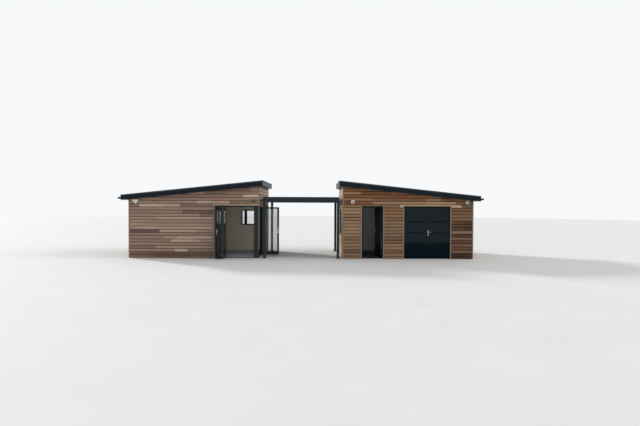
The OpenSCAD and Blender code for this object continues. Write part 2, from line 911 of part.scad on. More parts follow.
// Security light: a flat lamp head over its bracket and sensor
module security_light() {
    color(white) translate([security_light_in, 0, security_light_z]) union() {
        block(-45, 45, -40, 0, -50, 55);
        translate([0, -60, -8]) rotate([90, 0, 0]) translate([0, 0, -22]) cylinder(r = 16, h = 30);
        block(-105, 105, -95, -60, 20, 90);
        block(-16, 16, -70, -30, 20, 50);
        translate([0, -62, -70]) cylinder(r = 32, h = 60);
        translate([0, -62, -70]) sphere(r = 32);
    }
}

// Pergola: four posts on bolted feet, beams round the top and louvre blades between them
module post_places() {
    for (x = [-1, 1], y = [0, 1])
        translate([x * (pergola_w - post_w) / 2,
                   front_y + pergola_y + post_w / 2 + y * (pergola_d - post_w), 0])
            children();
}

module pergola_posts() {
    color(anthracite) post_places()
        block(-post_w / 2, post_w / 2, -post_w / 2, post_w / 2, foot_t, beam_z);
}

// Side of the tapered skirt, drawn in x and z
module skirt_side() {
    translate([0, foot_w / 2, 0]) rotate([90, 0, 0]) linear_extrude(foot_w)
        polygon([[-skirt_w / 2, foot_t], [skirt_w / 2, foot_t],
                 [post_w / 2 + 3, foot_t + skirt_h], [-post_w / 2 - 3, foot_t + skirt_h]]);
}

module pergola_feet() {
    color(anthracite) post_places() difference() {
        union() {
            block(-foot_w / 2, foot_w / 2, -foot_w / 2, foot_w / 2, 0, foot_t);
            intersection() {
                skirt_side();
                rotate([0, 0, 90]) skirt_side();
            }
        }
        block(-post_w / 2, post_w / 2, -post_w / 2, post_w / 2, foot_t, foot_t + skirt_h + 1);
        for (x = [-1, 1], y = [-1, 1])
            translate([x * foot_bolt, y * foot_bolt, -1])
                cylinder(r = foot_bolt_r, h = foot_t + 2);
    }
}

// Section of a beam in y and z, with the shadow line under its cap on the side at y = 0
module beam_section() {
    difference() {
        square([post_w, beam_h]);
        translate([-1, beam_h - beam_cap]) square([beam_groove + 1, beam_groove_h]);
    }
}

module cross_beam() {
    translate([-pergola_w / 2, 0, beam_z]) rotate([90, 0, 90]) linear_extrude(pergola_w)
        beam_section();
}

module pergola_cross_beams() {
    color(anthracite) {
        translate([0, front_y + pergola_y, 0]) cross_beam();
        translate([0, front_y + pergola_y + pergola_d, 0]) mirror([0, 1, 0]) cross_beam();
    }
}

module pergola_side_beams() {
    color(anthracite) for (side = [0, 1]) mirror([side, 0, 0])
        translate([-pergola_w / 2, front_y + pergola_y + pergola_d - post_w, beam_z])
            rotate([90, 0, 0]) linear_extrude(pergola_d - 2 * post_w) beam_section();
}

// Section of a blade: flat on top, bellied below, with a drip lip up at each edge
module blade_section() {
    belly_r = (pow(blade_chord / 2, 2) + pow(blade_t, 2)) / (2 * blade_t);
    union() {
        intersection() {
            translate([0, belly_r - blade_t]) circle(r = belly_r, $fn = 96);
            translate([-blade_chord / 2, -blade_t]) square([blade_chord, blade_t]);
        }
        translate([-blade_chord / 2, -blade_lip_t / 2]) square([blade_lip_t, blade_lip]);
        translate([blade_chord / 2 - blade_lip_t, -blade_lip_t / 2]) square([blade_lip_t, blade_lip]);
    }
}

module louvre_blade() {
    span = pergola_w - 2 * post_w - 2 * pin_l;
    union() {
        translate([-span / 2, 0, 0]) rotate([90, 0, 90]) linear_extrude(span) blade_section();
        for (end = [-1, 1])
            translate([end * (span / 2 - 1), 0, -blade_t / 2]) rotate([0, end * 90, 0])
                cylinder(r = pin_r, h = pin_l + 1);
    }
}

module pergola_louvres() {
    clear_d = pergola_d - 2 * post_w;
    pitch = clear_d / louvre_count;
    color(anthracite) for (i = [0 : louvre_count - 1])
        translate([0, front_y + pergola_y + post_w + pitch * (i + 0.5), beam_z + beam_h * 0.6])
            rotate([louvre_tilt, 0, 0]) louvre_blade();
}

in_room() base();  // room_base
in_room() room_floor();
in_room() room_front_wall();
in_room() room_front_header();
in_room() outer_wall();  // room_outer_wall
in_room() room_back_wall();
in_room() room_inner_pier();
in_room() room_inner_header();
in_room() room_cladding();
in_room() room_trims();
in_room() roof_deck();  // room_roof_deck
in_room() roof_edge();  // room_roof_edge
in_room() roof_covering();  // room_roof_covering
in_room() corner_post();
in_room() front_fold_frame();
in_room() side_fold_frame();
in_room() front_fold_leaves();
in_room() side_fold_leaves();
in_room() fold_handles();
in_room() room_window_frame();
in_room() room_glass();
in_store() base();  // store_base
in_store() store_floor();
in_store() store_front_piers();
in_store() store_front_headers();
in_store() outer_wall();  // store_outer_wall
in_store() color(plaster) back_wall();  // store_back_wall
in_store() store_inner_wall();
in_store() store_partition();
in_store() store_cladding();
in_store() store_trims();
in_store() roof_deck();  // store_roof_deck
in_store() roof_edge();  // store_roof_edge
in_store() roof_covering();  // store_roof_covering
in_store() single_door_frame();
in_store() single_door_leaf();
in_store() single_door_handles();
in_store() double_door_frame();
in_store() double_door_left_leaf();
in_store() double_door_right_leaf();
in_store() double_door_handles();
in_store() store_window_frame();
in_store() store_window_glass();
gutters();
downpipes();
wall_lights();
in_store() security_cameras();
in_room() security_light();
pergola_posts();
pergola_feet();
pergola_cross_beams();
pergola_side_beams();
pergola_louvres();
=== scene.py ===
# %% [markdown]
# # A garden office building in cedar and anthracite
#
# Two small timber-clad buildings face each other: a glazed room on the left and a store on the
# right, under single-pitch roofs that rise towards each other, with a louvred pergola between
# them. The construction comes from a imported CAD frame: walls, doors, roofs, posts. This lesson
# dresses that frame in Blender. It lays the cladding board by board, gives every surface its
# finish, and adds the small pieces that are fitted last.

# %% Load the frame
import math
import random

import bmesh
import bpy
from mathutils import Matrix, Vector


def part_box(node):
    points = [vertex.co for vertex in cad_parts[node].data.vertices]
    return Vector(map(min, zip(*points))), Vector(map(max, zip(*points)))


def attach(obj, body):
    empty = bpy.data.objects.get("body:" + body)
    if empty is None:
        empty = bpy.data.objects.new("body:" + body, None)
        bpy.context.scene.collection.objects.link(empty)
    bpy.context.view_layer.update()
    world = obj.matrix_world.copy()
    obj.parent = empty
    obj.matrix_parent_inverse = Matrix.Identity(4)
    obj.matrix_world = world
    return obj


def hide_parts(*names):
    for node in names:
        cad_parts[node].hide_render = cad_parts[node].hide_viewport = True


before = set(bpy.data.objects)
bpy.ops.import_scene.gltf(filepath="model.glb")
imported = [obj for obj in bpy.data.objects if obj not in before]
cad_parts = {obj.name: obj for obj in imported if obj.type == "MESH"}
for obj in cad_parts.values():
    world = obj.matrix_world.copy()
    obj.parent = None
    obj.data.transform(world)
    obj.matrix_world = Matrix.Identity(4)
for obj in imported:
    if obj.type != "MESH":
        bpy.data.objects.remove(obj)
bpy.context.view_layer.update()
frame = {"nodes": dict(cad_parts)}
nodes = frame["nodes"]
BODY = "building"

# %% [markdown]
# ## The camera
#
# The camera stands at eye height, 17.8 m in front of the front walls. Its distance, height and
# lens were worked out from the way the pergola's long lines meet. It looks a degree down, and
# leans a quarter of a degree, as a camera held by hand does.

# %% Place the camera
FRONT_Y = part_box("store_cladding")[0].y
CAMERA_DISTANCE = 17.76
CAMERA_X = 0.70
CAMERA_HEIGHT = 2.118
LENS_MM = 25.14
SENSOR_MM = 36
FARTHEST = 300
YAW_RIGHT = math.radians(0.155)
PITCH_DOWN = math.radians(0.975)
ROLL = math.radians(0.245)

turned = (
    Matrix.Rotation(-YAW_RIGHT, 3, "Z")
    @ Matrix.Rotation(math.pi / 2 - PITCH_DOWN, 3, "X")
    @ Matrix.Rotation(ROLL, 3, "Z")
)
bpy.ops.object.camera_add(
    location=(CAMERA_X, FRONT_Y - CAMERA_DISTANCE, CAMERA_HEIGHT),
    rotation=turned.to_euler(),
)
camera = bpy.context.object
camera.name = "camera"
camera.data.lens = LENS_MM
camera.data.sensor_width = SENSOR_MM
camera.data.sensor_fit = "HORIZONTAL"
camera.data.clip_end = FARTHEST
bpy.context.scene.camera = camera
print("camera at", tuple(round(v, 2) for v in camera.location))

# %% [markdown]
# ## Writing a finish as sums and products
#
# Procedural finishes are arithmetic on noise. Wiring that by hand hides the idea, so a socket is
# wrapped in a small class that turns Python's operators into Math nodes. A finish then reads as
# a formula, and one method makes every other node from its type, settings and inputs. The sky
# is a node tree too, so the method belongs to a class that the finishes and the sky share.

# %% Wrap sockets and node trees


class Value:
    """One output socket. Arithmetic on it adds Math nodes."""

    def __init__(self, nodes, socket):
        self.nodes = nodes
        self.socket = socket

    def __add__(self, other):
        return self.nodes.maths("ADD", self, other)

    def __radd__(self, other):
        return self.nodes.maths("ADD", other, self)

    def __sub__(self, other):
        return self.nodes.maths("SUBTRACT", self, other)

    def __rsub__(self, other):
        return self.nodes.maths("SUBTRACT", other, self)

    def __mul__(self, other):
        return self.nodes.maths("MULTIPLY", self, other)

    def __rmul__(self, other):
        return self.nodes.maths("MULTIPLY", other, self)

    def __truediv__(self, other):
        return self.nodes.maths("DIVIDE", self, other)


class Nodes:
    """A node tree that grows by one method."""

    def __init__(self, tree):
        self.tree = tree

    def feed(self, socket, value):
        if isinstance(value, Value):
            self.tree.links.new(value.socket, socket)
        elif socket.type == "RGBA":
            socket.default_value = (*value, 1)
        else:
            socket.default_value = value

    def node(self, kind, settings=None, inputs=None, output=0):
        made = self.tree.nodes.new(kind)
        for key, value in (settings or {}).items():
            if key == "stops":
                set_stops(made.color_ramp, value)
            else:
                setattr(made, key, value)
        for key, value in (inputs or {}).items():
            self.feed(made.inputs[key], value)
        return Value(self, made.outputs[output])

    def maths(self, operation, a, b=0.0):
        return self.node("ShaderNodeMath", {"operation": operation}, {0: a, 1: b})


def set_stops(ramp, stops):
    while len(ramp.elements) < len(stops):
        ramp.elements.new(1.0)
    for element, (position, colour) in zip(ramp.elements, stops):
        element.position = position
        element.color = (*colour, 1)


print("node tools are ready")

# %% Wrap materials


class Finish(Nodes):
    """A material built round one Principled shader."""

    def __init__(self, name):
        self.material = bpy.data.materials.new(name)
        self.material.use_nodes = True
        super().__init__(self.material.node_tree)
        self.shader = self.tree.nodes["Principled BSDF"]

    def place(self):
        """The piece's own coordinates, in metres."""
        return self.node("ShaderNodeTexCoord", output="Object")

    def attribute(self, name, output="Fac"):
        return self.node("ShaderNodeAttribute", {"attribute_name": name}, output=output)

    def noise(self, where, scale, detail=3.0, roughness=0.55):
        return self.node(
            "ShaderNodeTexNoise",
            inputs={"Vector": where, "Scale": scale, "Detail": detail, "Roughness": roughness},
        )

    def streaks(self, where, scale, detail=2.0, roughness=0.55):
        """Noise drawn out along the axes whose scale is small."""
        drawn = self.node("ShaderNodeMapping", inputs={"Vector": where, "Scale": scale})
        return self.noise(drawn, 1.0, detail, roughness)

    def fade(self, value, low, high):
        """0 below low, 1 above high, and smooth between."""
        return self.node(
            "ShaderNodeMapRange",
            {"interpolation_type": "SMOOTHSTEP"},
            {"Value": value, "From Min": low, "From Max": high},
        )

    def mix(self, a, b, factor):
        return self.node("ShaderNodeMix", {"data_type": "RGBA"}, {0: factor, 6: a, 7: b}, output=2)

    def part(self, vector, which):
        """The x, y or z of a vector, as 0, 1 or 2."""
        return self.node("ShaderNodeSeparateXYZ", inputs={0: vector}, output=which)

    def shade(self, colour, amount):
        """A colour made lighter or darker by a number that is 1 where nothing changes."""
        return self.node(
            "ShaderNodeVectorMath", {"operation": "SCALE"}, {"Vector": colour, "Scale": amount}
        )

    def bump(self, height, distance, strength):
        made = self.node(
            "ShaderNodeBump", inputs={"Height": height, "Distance": distance, "Strength": strength}
        )
        self.feed(self.shader.inputs["Normal"], made)

    def set(self, **sockets):
        for name, value in sockets.items():
            self.feed(self.shader.inputs[name.replace("_", " ")], value)


def srgb(red, green, blue):
    """A colour as a paint chart gives it, 0 to 255, turned into light values."""

    def light(v):
        v = v / 255
        return v / 12.92 if v <= 0.04045 else ((v + 0.055) / 1.055) ** 2.4

    return (light(red), light(green), light(blue))


print("finish tools are ready")

# %% [markdown]
# ## Light and floor
#
# Building finishes are judged in even light, so the sky is one pale dome. It lights the walls at
# about one, so a colour looks as it is written. A soft sun comes low from behind on the left, as
# on the real building: the fronts stay in even shade and the light falls between the buildings
# onto the store's inner wall. A weaker, broader one fills that space from the right. Rays that
# go straight from the camera, through glass, or off a shiny face see a nearly white sky.

# %% Make the sky, the sun and the floor
SKY_LEVEL = 0.80
SKY_SEEN = (0.93, 0.945, 0.96)
SUNS = {
    "sun": (3.3, Vector((-0.76, 0.54, 0.36)), 7),
    "fill": (1.7, Vector((0.88, -0.08, 0.46)), 30),
}
SUN_HEIGHT = 12
FLOOR_RADIUS = 70.0
FLOOR_COLOUR = (0.54, 0.54, 0.53)

world = bpy.data.worlds.new("sky")
bpy.context.scene.world = world
world.use_nodes = True
sky = Nodes(world.node_tree)
direct = sky.maths(
    "MAXIMUM",
    sky.node("ShaderNodeLightPath", output="Is Camera Ray"),
    sky.node("ShaderNodeLightPath", output="Is Transmission Ray"),
)
mirrored = sky.maths("MAXIMUM", direct, sky.node("ShaderNodeLightPath", output="Is Glossy Ray"))
lit = sky.node("ShaderNodeBackground", inputs={"Color": (1, 1, 1), "Strength": SKY_LEVEL})
seen = sky.node("ShaderNodeBackground", inputs={"Color": SKY_SEEN})
chosen_sky = sky.node("ShaderNodeMixShader", inputs={0: mirrored, 1: lit, 2: seen})
sky.feed(world.node_tree.nodes["World Output"].inputs["Surface"], chosen_sky)

for name, (strength, source, softness) in SUNS.items():
    bpy.ops.object.light_add(type="SUN", location=(0, 0, SUN_HEIGHT))
    sun = bpy.context.object
    sun.name = name
    sun.data.energy = strength
    sun.data.angle = math.radians(softness)
    sun.rotation_euler = source.to_track_quat("Z", "Y").to_euler()

bpy.ops.mesh.primitive_circle_add(vertices=96, radius=FLOOR_RADIUS, fill_type="NGON")
floor = bpy.context.object
floor.name = "studio_floor"
print("light and floor are in place")

# %% [markdown]
# ## Cedar boards
#
# Western red cedar varies more from board to board than any other cladding: chocolate, salmon and
# straw come off one pallet. Each board therefore carries a tone of its own as an attribute, and
# the material only turns that number into a colour. The grain is noise stretched along the
# board, read from a second attribute that runs along each board whatever way the wall faces.

# %% Mix the cedar finishes
PITCH = 0.1283
GAP = 0.016
RED_BROWN = srgb(134, 81, 42)
OLIVE = srgb(124, 112, 84)
ROOM_TONES = [
    (0.00, srgb(84, 65, 57)),
    (0.30, srgb(131, 104, 91)),
    (0.55, srgb(152, 125, 110)),
    (0.80, srgb(172, 146, 129)),
    (1.00, srgb(198, 176, 157)),
]
STORE_TONES = [
    # The lowest stop is set very dark for the right-hand pier's painted shade; other dark boards
    # reach it too.
    (0.00, srgb(52, 37, 29)),
    (0.30, srgb(119, 89, 68)),
    (0.55, srgb(146, 115, 88)),
    (0.80, srgb(170, 138, 107)),
    (1.00, srgb(202, 172, 140)),
]


def cedar(name, stops, grey, edge):
    """Tone and hue by the board, then grain, weather, and painted shade in the gaps.

    grey is the colour it weathers to, and edge is how high the painted shade above a gap reaches.
    """
    finish = Finish(name)
    tone = finish.attribute("board_tone")
    hue = finish.attribute("board_hue")
    grain_at = finish.attribute("board_grain", "Vector")
    waved = finish.streaks(grain_at, (1.6, 7.0, 1))
    wave = finish.node("ShaderNodeCombineXYZ", inputs={"Y": (waved - 0.5) * 0.09})
    bent = finish.node("ShaderNodeVectorMath", {"operation": "ADD"}, {0: grain_at, 1: wave})
    rings = finish.fade(finish.streaks(bent, (0.5, 62, 1), 3.0, 0.62), 0.34, 0.66)
    fibres = finish.streaks(grain_at, (9, 420, 1), 2.0, 0.5)
    drift = finish.streaks(grain_at, (0.7, 3.0, 1))
    toned = tone + (drift - 0.5) * 0.3
    colour = finish.node("ShaderNodeValToRGB", {"stops": stops}, {"Fac": toned})
    colour = finish.mix(colour, OLIVE, finish.fade(hue, 0.0, 1.0) * 0.7)
    colour = finish.mix(colour, RED_BROWN, finish.fade(hue, 0.0, -1.0))
    colour = finish.shade(colour, 0.71 + 0.3 * rings + 0.28 * fibres)
    place = finish.place()
    weather = finish.noise(place, 0.55, 3.0)
    colour = finish.mix(colour, grey, finish.fade(weather, 0.42, 0.7) * 0.3)
    splash = finish.fade(finish.part(place, 2) + (weather - 0.5) * 0.3, 0.30, 0.02)
    colour = finish.shade(colour, 1 - splash * 0.3)
    height = finish.part(grain_at, 1)
    # Painted shade: the tongue seen at the back of each gap is darkened almost to black, and the
    # lowest part of each board's face, over the height given as edge, is darkened as the shade of
    # its eased lower edge.
    painted_gap_shade = finish.fade(height, PITCH - 0.002, PITCH + 0.001)
    painted_edge_shade = finish.fade(height, GAP + edge, GAP)
    colour = finish.shade(colour, (1 - painted_gap_shade * 0.93) * (1 - painted_edge_shade * (0.3 + edge * 10)))
    finish.set(Base_Color=colour, Roughness=0.72 + 0.16 * (rings - 0.5), Specular_IOR_Level=0.3)
    finish.bump(rings * 0.6 + fibres * 0.4, 0.0012, 0.6)
    return finish.material


room_cedar = cedar("cedar_room", ROOM_TONES, srgb(134, 118, 108), 0.012)
store_cedar = cedar("cedar_store", STORE_TONES, srgb(122, 102, 84), 0.030)
print("cedar mixed")

# %% [markdown]
# ## Paints, metals and plastics
#
# The aluminium frames, the pergola and the fascia are all near anthracite, yet each reflects the
# sky differently: powder coat has a fine orange peel, fascia board is smoother and bluer, and
# membrane is flat and dusty. One function makes them from a colour, a roughness and the size of
# the texture, so that they stay relatives.

# %% A way to make painted finishes
PAINTED_REFLECTION_TOP = 0.78
PAINTED_REFLECTION_LOW = 0.46


def coated(
    name, colour, roughness, peel=0.0003, mottle=0.10, specular=0.35, foot=None, sunk=None
):
    """Powder coat, paint or moulded plastic: an even colour with a faint mottle and a fine peel.

    A tall door is darker at its foot, where its paint takes the colour given as foot: a painted
    reflection of the dark ground that semi-gloss paint mirrors low down. The bottoms of grooves,
    at the depth given as sunk, are darkened almost to black: painted shade, with the dust that
    lies there.
    """
    finish = Finish(name)
    place = finish.place()
    patches = finish.noise(place, 1.7, 4.0)
    speckle = finish.noise(place, 260.0, 2.0)
    dust = finish.noise(place, 9.0, 5.0, 0.65)
    tint = finish.shade(colour, 1 + (patches - 0.5) * mottle * 2 + (dust - 0.5) * mottle)
    # Painted reflection: low on a door the paint turns to the foot colour, as dark ground mirrored
    # in it.
    if foot:
        tint = finish.mix(tint, foot, finish.fade(finish.part(place, 2), PAINTED_REFLECTION_TOP, PAINTED_REFLECTION_LOW))
    # Painted shade, with some dust: the bottom of each groove is darkened almost to black.
    if sunk:
        off = finish.maths("ABSOLUTE", finish.part(place, 1) - sunk)
        tint = finish.shade(tint, 0.1 + 0.9 * finish.fade(off, 0.0005, 0.0015))
    finish.set(
        Base_Color=tint,
        Roughness=roughness + (dust - 0.5) * 0.14 + (patches - 0.5) * 0.08,
        Specular_IOR_Level=specular,
    )
    finish.bump(speckle, peel, 0.5)
    return finish.material


print("painted finishes can be made")

# %% [markdown]
# ## Plaster, floors and concrete
#
# Inside, the walls and ceilings are painted with a roller, which leaves a fine stipple. The floors
# are laid in planks, and the slab shows at the foot of the walls. A plank's number is its distance
# across the floor, rounded down, and white noise turns that number into the plank's own shade.

# %% Ways to make plaster, floors and concrete


def rolled(name, colour, roughness, stipple):
    """Painted board or plaster: pale, with roller stipple and slight unevenness."""
    finish = Finish(name)
    place = finish.place()
    wide = finish.noise(place, 0.8, 3.0)
    roller = finish.noise(place, 170.0, 3.0, 0.6)
    finish.set(
        Base_Color=finish.shade(colour, 0.95 + 0.1 * wide),
        Roughness=roughness + (wide - 0.5) * 0.1,
    )
    finish.bump(roller, stipple, 0.4)
    return finish.material


def plank_floor(name, colour, plank_w, roughness):
    """A laid floor: planks along x with a fine joint, each with its own shade and grain."""
    finish = Finish(name)
    place = finish.place()
    y = finish.part(place, 1)
    row = finish.maths("FLOOR", y / plank_w)
    shade = finish.node("ShaderNodeTexWhiteNoise", {"noise_dimensions": "1D"}, {"W": row})
    grain = finish.streaks(place, (2.2, 46, 1), 4.0, 0.6)
    across = y / plank_w - row
    edge = finish.maths("MINIMUM", across, 1 - across)
    joint = 1 - finish.fade(edge, 0.004, 0.02)
    level = 0.78 + 0.24 * shade + 0.2 * grain - 0.3 * joint
    finish.set(Base_Color=finish.shade(colour, level), Roughness=roughness + 0.15 * (grain - 0.5))
    finish.bump(grain * 0.3 - joint, 0.0008, 0.7)
    return finish.material


def concrete(name, colour):
    """Trowelled concrete: soft clouds under a fine grit."""
    finish = Finish(name)
    place = finish.place()
    clouds = finish.noise(place, 2.6, 5.0, 0.6)
    grit = finish.noise(place, 120.0, 3.0, 0.7)
    finish.set(Base_Color=finish.shade(colour, 0.78 + 0.3 * clouds + 0.14 * grit), Roughness=0.86)
    finish.bump(clouds * 0.4 + grit * 0.6, 0.0012, 0.6)
    return finish.material


print("plaster, floors and concrete can be made")

# %% [markdown]
# ## Satin metal and glass
#
# Handles and bolts are satin steel, whose brush marks are noise drawn out round the piece. Double
# glazing is clear when it is faced and mirrors the sky when it is seen aslant, so a Fresnel node
# mixes a thin pane with a sharp reflection.

# %% Ways to make metal and glass


def brushed(name, colour, roughness):
    """Satin metal, with fine lines that run round an upright piece."""
    finish = Finish(name)
    lines = finish.streaks(finish.place(), (30, 30, 900))
    finish.set(
        Base_Color=finish.shade(colour, 0.9 + 0.2 * lines),
        Roughness=roughness + 0.12 * (lines - 0.5),
        Metallic=1.0,
    )
    return finish.material


def clear_glass(name):
    """Double glazing seen at a distance: mostly clear, with a sky reflection that grows aslant."""
    finish = Finish(name)
    finish.set(
        Base_Color=srgb(70, 82, 80), Roughness=0.02, Alpha=0.14, IOR=1.5, Specular_IOR_Level=0.5
    )
    facing = finish.node("ShaderNodeFresnel", inputs={"IOR": 1.5})
    mirror = finish.node(
        "ShaderNodeBsdfGlossy", inputs={"Color": (0.64, 0.66, 0.67), "Roughness": 0.01}
    )
    pane = Value(finish, finish.shader.outputs[0])
    both = finish.node("ShaderNodeMixShader", inputs={0: facing, 1: pane, 2: mirror})
    finish.feed(finish.tree.nodes["Material Output"].inputs["Surface"], both)
    return finish.material


print("metal and glass can be made")

# %% [markdown]
# ## Planed trims
#
# The corner and jamb trims are planed timber that stands on end, so its grain runs upwards. Their
# finish reads the piece's own coordinates, stretched along z.

# %% A way to make planed timber


def planed(name, dark, light):
    """Planed timber trim: the grain runs upwards."""
    finish = Finish(name)
    place = finish.place()
    grain = finish.streaks(place, (38, 38, 0.9), 4.0, 0.6)
    fibres = finish.streaks(place, (420, 420, 7))
    colour = finish.shade(finish.mix(dark, light, grain), 0.88 + 0.24 * fibres)
    finish.set(Base_Color=colour, Roughness=0.7, Specular_IOR_Level=0.3)
    finish.bump(grain * 0.5 + fibres * 0.5, 0.0008, 0.5)
    return finish.material


print("planed timber can be made")

# %% [markdown]
# ## Mixing the finishes
#
# With those ways to make them, each finish is one line: a colour, a roughness, and what sets it
# apart. The dark coats are written a little darker than a paint chart gives them, because the
# wide pale sky adds a sheen to every surface.

# %% Mix the finishes
DOOR_SET_BACK = 0.035
GROOVE_DEPTH = 0.014
frame_metal = coated("frame_powder_coat", (0.011, 0.015, 0.020), 0.48, specular=0.28)
# The door's foot colour is a painted reflection of dark ground, and its groove bottoms at sunk
# take painted shade.
door_paint = coated(
    "door_paint", (0.0150, 0.0224, 0.0270), 0.5, specular=0.04, foot=(0.0014, 0.0070, 0.0118),
    sunk=FRONT_Y + DOOR_SET_BACK + GROOVE_DEPTH,
)
fascia_board = coated("fascia_board", (0.004, 0.011, 0.018), 0.42, peel=0.00006, specular=0.12)
pergola_coat = coated(
    "pergola_powder_coat", (0.014, 0.022, 0.029), 0.5, peel=0.0004, specular=0.2
)
rainwater = coated(
    "rainwater_plastic", (0.014, 0.018, 0.022), 0.38, peel=0.00008, specular=0.4
)
light_coat = coated("light_powder_coat", (0.018, 0.020, 0.022), 0.5)
white_plastic = coated("white_plastic", (0.88, 0.88, 0.86), 0.36, mottle=0.03, specular=0.5)
membrane = coated("roof_membrane", (0.060, 0.064, 0.070), 0.82, peel=0.0006, mottle=0.22)
room_plaster = rolled("room_wall_paint", srgb(236, 224, 205), 0.85, 0.0004)
store_plaster = rolled("store_wall_paint", srgb(214, 216, 218), 0.85, 0.0004)
roof_lining = rolled("ceiling_paint", srgb(238, 237, 233), 0.88, 0.0003)
slab = concrete("concrete_slab", srgb(158, 156, 150))
room_planks = plank_floor("room_floor_boards", srgb(158, 165, 172), 0.19, 0.5)
store_planks = plank_floor("store_floor_boards", srgb(52, 54, 58), 0.6, 0.6)
room_trim = planed("room_trim_cedar", srgb(115, 96, 85), srgb(147, 128, 114))
store_trim = planed("store_trim_cedar", srgb(115, 98, 83), srgb(149, 132, 114))
steel = brushed("satin_steel", (0.32, 0.335, 0.345), 0.34)
glazing = clear_glass("double_glazing")
floor.data.materials.append(rolled("studio_floor_paint", FLOOR_COLOUR, 0.9, 0.0001))
print(len(bpy.data.materials), "materials mixed")

# %% [markdown]
# ## Finishes for the CAD pieces
#
# Every node of the frame keeps its shape and only gets a finish. The list below reads like a
# schedule of finishes: what each piece is made of.

# %% Give each CAD node its finish
SCHEDULE = {
    slab: ["room_base", "store_base"],
    room_planks: ["room_floor"],
    store_planks: ["store_floor"],
    room_plaster: [
        "room_front_wall", "room_front_header", "room_outer_wall", "room_back_wall",
        "room_inner_header", "room_inner_pier",
    ],
    store_plaster: [
        "store_front_piers", "store_front_headers", "store_outer_wall", "store_back_wall",
        "store_inner_wall", "store_partition",
    ],
    roof_lining: ["room_roof_deck", "store_roof_deck"],
    fascia_board: ["room_roof_edge", "store_roof_edge"],
    membrane: ["room_roof_covering", "store_roof_covering"],
    room_trim: ["room_trims"],
    store_trim: ["store_trims"],
    frame_metal: [
        "corner_post", "front_fold_frame", "side_fold_frame", "front_fold_leaves",
        "side_fold_leaves", "room_window_frame", "store_window_frame",
    ],
    door_paint: [
        "single_door_frame", "single_door_leaf", "double_door_frame", "double_door_left_leaf",
        "double_door_right_leaf",
    ],
    steel: ["single_door_handles", "double_door_handles"],
    glazing: ["room_glass", "store_window_glass"],
    rainwater: ["gutters", "downpipes"],
    light_coat: ["wall_lights"],
    white_plastic: ["fold_handles", "security_cameras", "security_light"],
    pergola_coat: [
        "pergola_posts", "pergola_feet", "pergola_cross_beams", "pergola_side_beams",
        "pergola_louvres",
    ],
}
for material, names in SCHEDULE.items():
    for name in names:
        nodes[name].data.materials.clear()
        nodes[name].data.materials.append(material)
print(sum(len(names) for names in SCHEDULE.values()), "nodes finished")

# %% [markdown]
# ## Working by hand
#
# Each piece starts as a block or a round bar, and is shaped in edit mode: some faces or edges are
# selected by where they are or which way they face, and then pushed out, inset or rounded. These
# few helpers do the selecting, so that each step below is one line.

# %% Helpers for modelling by hand


def deselect():
    if bpy.context.mode != "OBJECT":
        bpy.ops.object.mode_set(mode="OBJECT")
    bpy.ops.object.select_all(action="DESELECT")


def choose(piece):
    """Makes a piece the only one selected, and the active one."""
    deselect()
    piece.select_set(True)
    bpy.context.view_layer.objects.active = piece


def settled(scale=(1, 1, 1)):
    """Scales the newest piece, and puts its place and size into its mesh."""
    made = bpy.context.object
    made.scale = scale
    bpy.ops.object.transform_apply(location=True, rotation=True, scale=True)
    return made


def block(low, high):
    """A block between two corners."""
    deselect()
    bpy.ops.mesh.primitive_cube_add(size=1, location=[(a + b) / 2 for a, b in zip(low, high)])
    return settled([b - a for a, b in zip(low, high)])


def tube(radius, low, high, corners=20):
    """A round bar between two points."""
    deselect()
    low, high = Vector(low), Vector(high)
    bpy.ops.mesh.primitive_cylinder_add(
        vertices=corners, radius=radius, depth=(high - low).length, location=(low + high) / 2,
        rotation=(high - low).to_track_quat("Z", "Y").to_euler(),
    )
    return settled()


def edit(piece, kind, test):
    """Enters edit mode with only the faces or edges selected that pass a test on their middle."""
    choose(piece)
    bpy.ops.object.mode_set(mode="EDIT")
    bpy.context.tool_settings.mesh_select_mode = (False, kind == "edges", kind == "faces")
    bpy.ops.mesh.select_all(action="DESELECT")
    mesh = bmesh.from_edit_mesh(piece.data)
    if kind == "faces":
        for face in mesh.faces:
            face.select_set(bool(test(face.calc_center_median(), face.normal)))
    else:
        for edge in mesh.edges:
            a, b = (vertex.co for vertex in edge.verts)
            edge.select_set(bool(test((a + b) / 2, (b - a).normalized())))
    bmesh.update_edit_mesh(piece.data)


def done():
    bpy.ops.object.mode_set(mode="OBJECT")


def everything(middle, direction):
    return True


def front(middle, normal):
    return normal.y < -0.9


def top(middle, normal):
    return normal.z > 0.9


def push(x, y, z):
    """Extrudes the selected faces."""
    bpy.ops.mesh.extrude_region_move(TRANSFORM_OT_translate={"value": (x, y, z)})


def inset(width, x=0, y=0, z=0):
    """Insets the selected faces and moves the inner ones."""
    bpy.ops.mesh.inset(thickness=width)
    bpy.ops.transform.translate(value=(x, y, z))


def soften(piece, width, test=everything, segments=2):
    """Rounds the edges that pass a test."""
    edit(piece, "edges", test)
    bpy.ops.mesh.bevel(offset=width, segments=segments, affect="EDGES")
    done()
    return piece


def turn_outwards(piece):
    edit(piece, "faces", everything)
    bpy.ops.mesh.normals_make_consistent(inside=False)
    done()


print("modelling helpers are ready")

# %% [markdown]
# ## One board, modelled once
#
# The cladding is a shadow-gap board: a flat face with eased edges, and a tongue at the top that
# the next board covers, with a dark gap left between the faces. It is modelled once by hand. A
# thin block is cut across at the face's top edge, its lower front is pushed out to make the
# face, and the face's two long edges are rounded.

# %% Model the board
BOARD_T = 0.024
TONGUE_T = 0.008
TONGUE_H = 0.012
EASING = 0.0025
tongue_y = BOARD_T - TONGUE_T

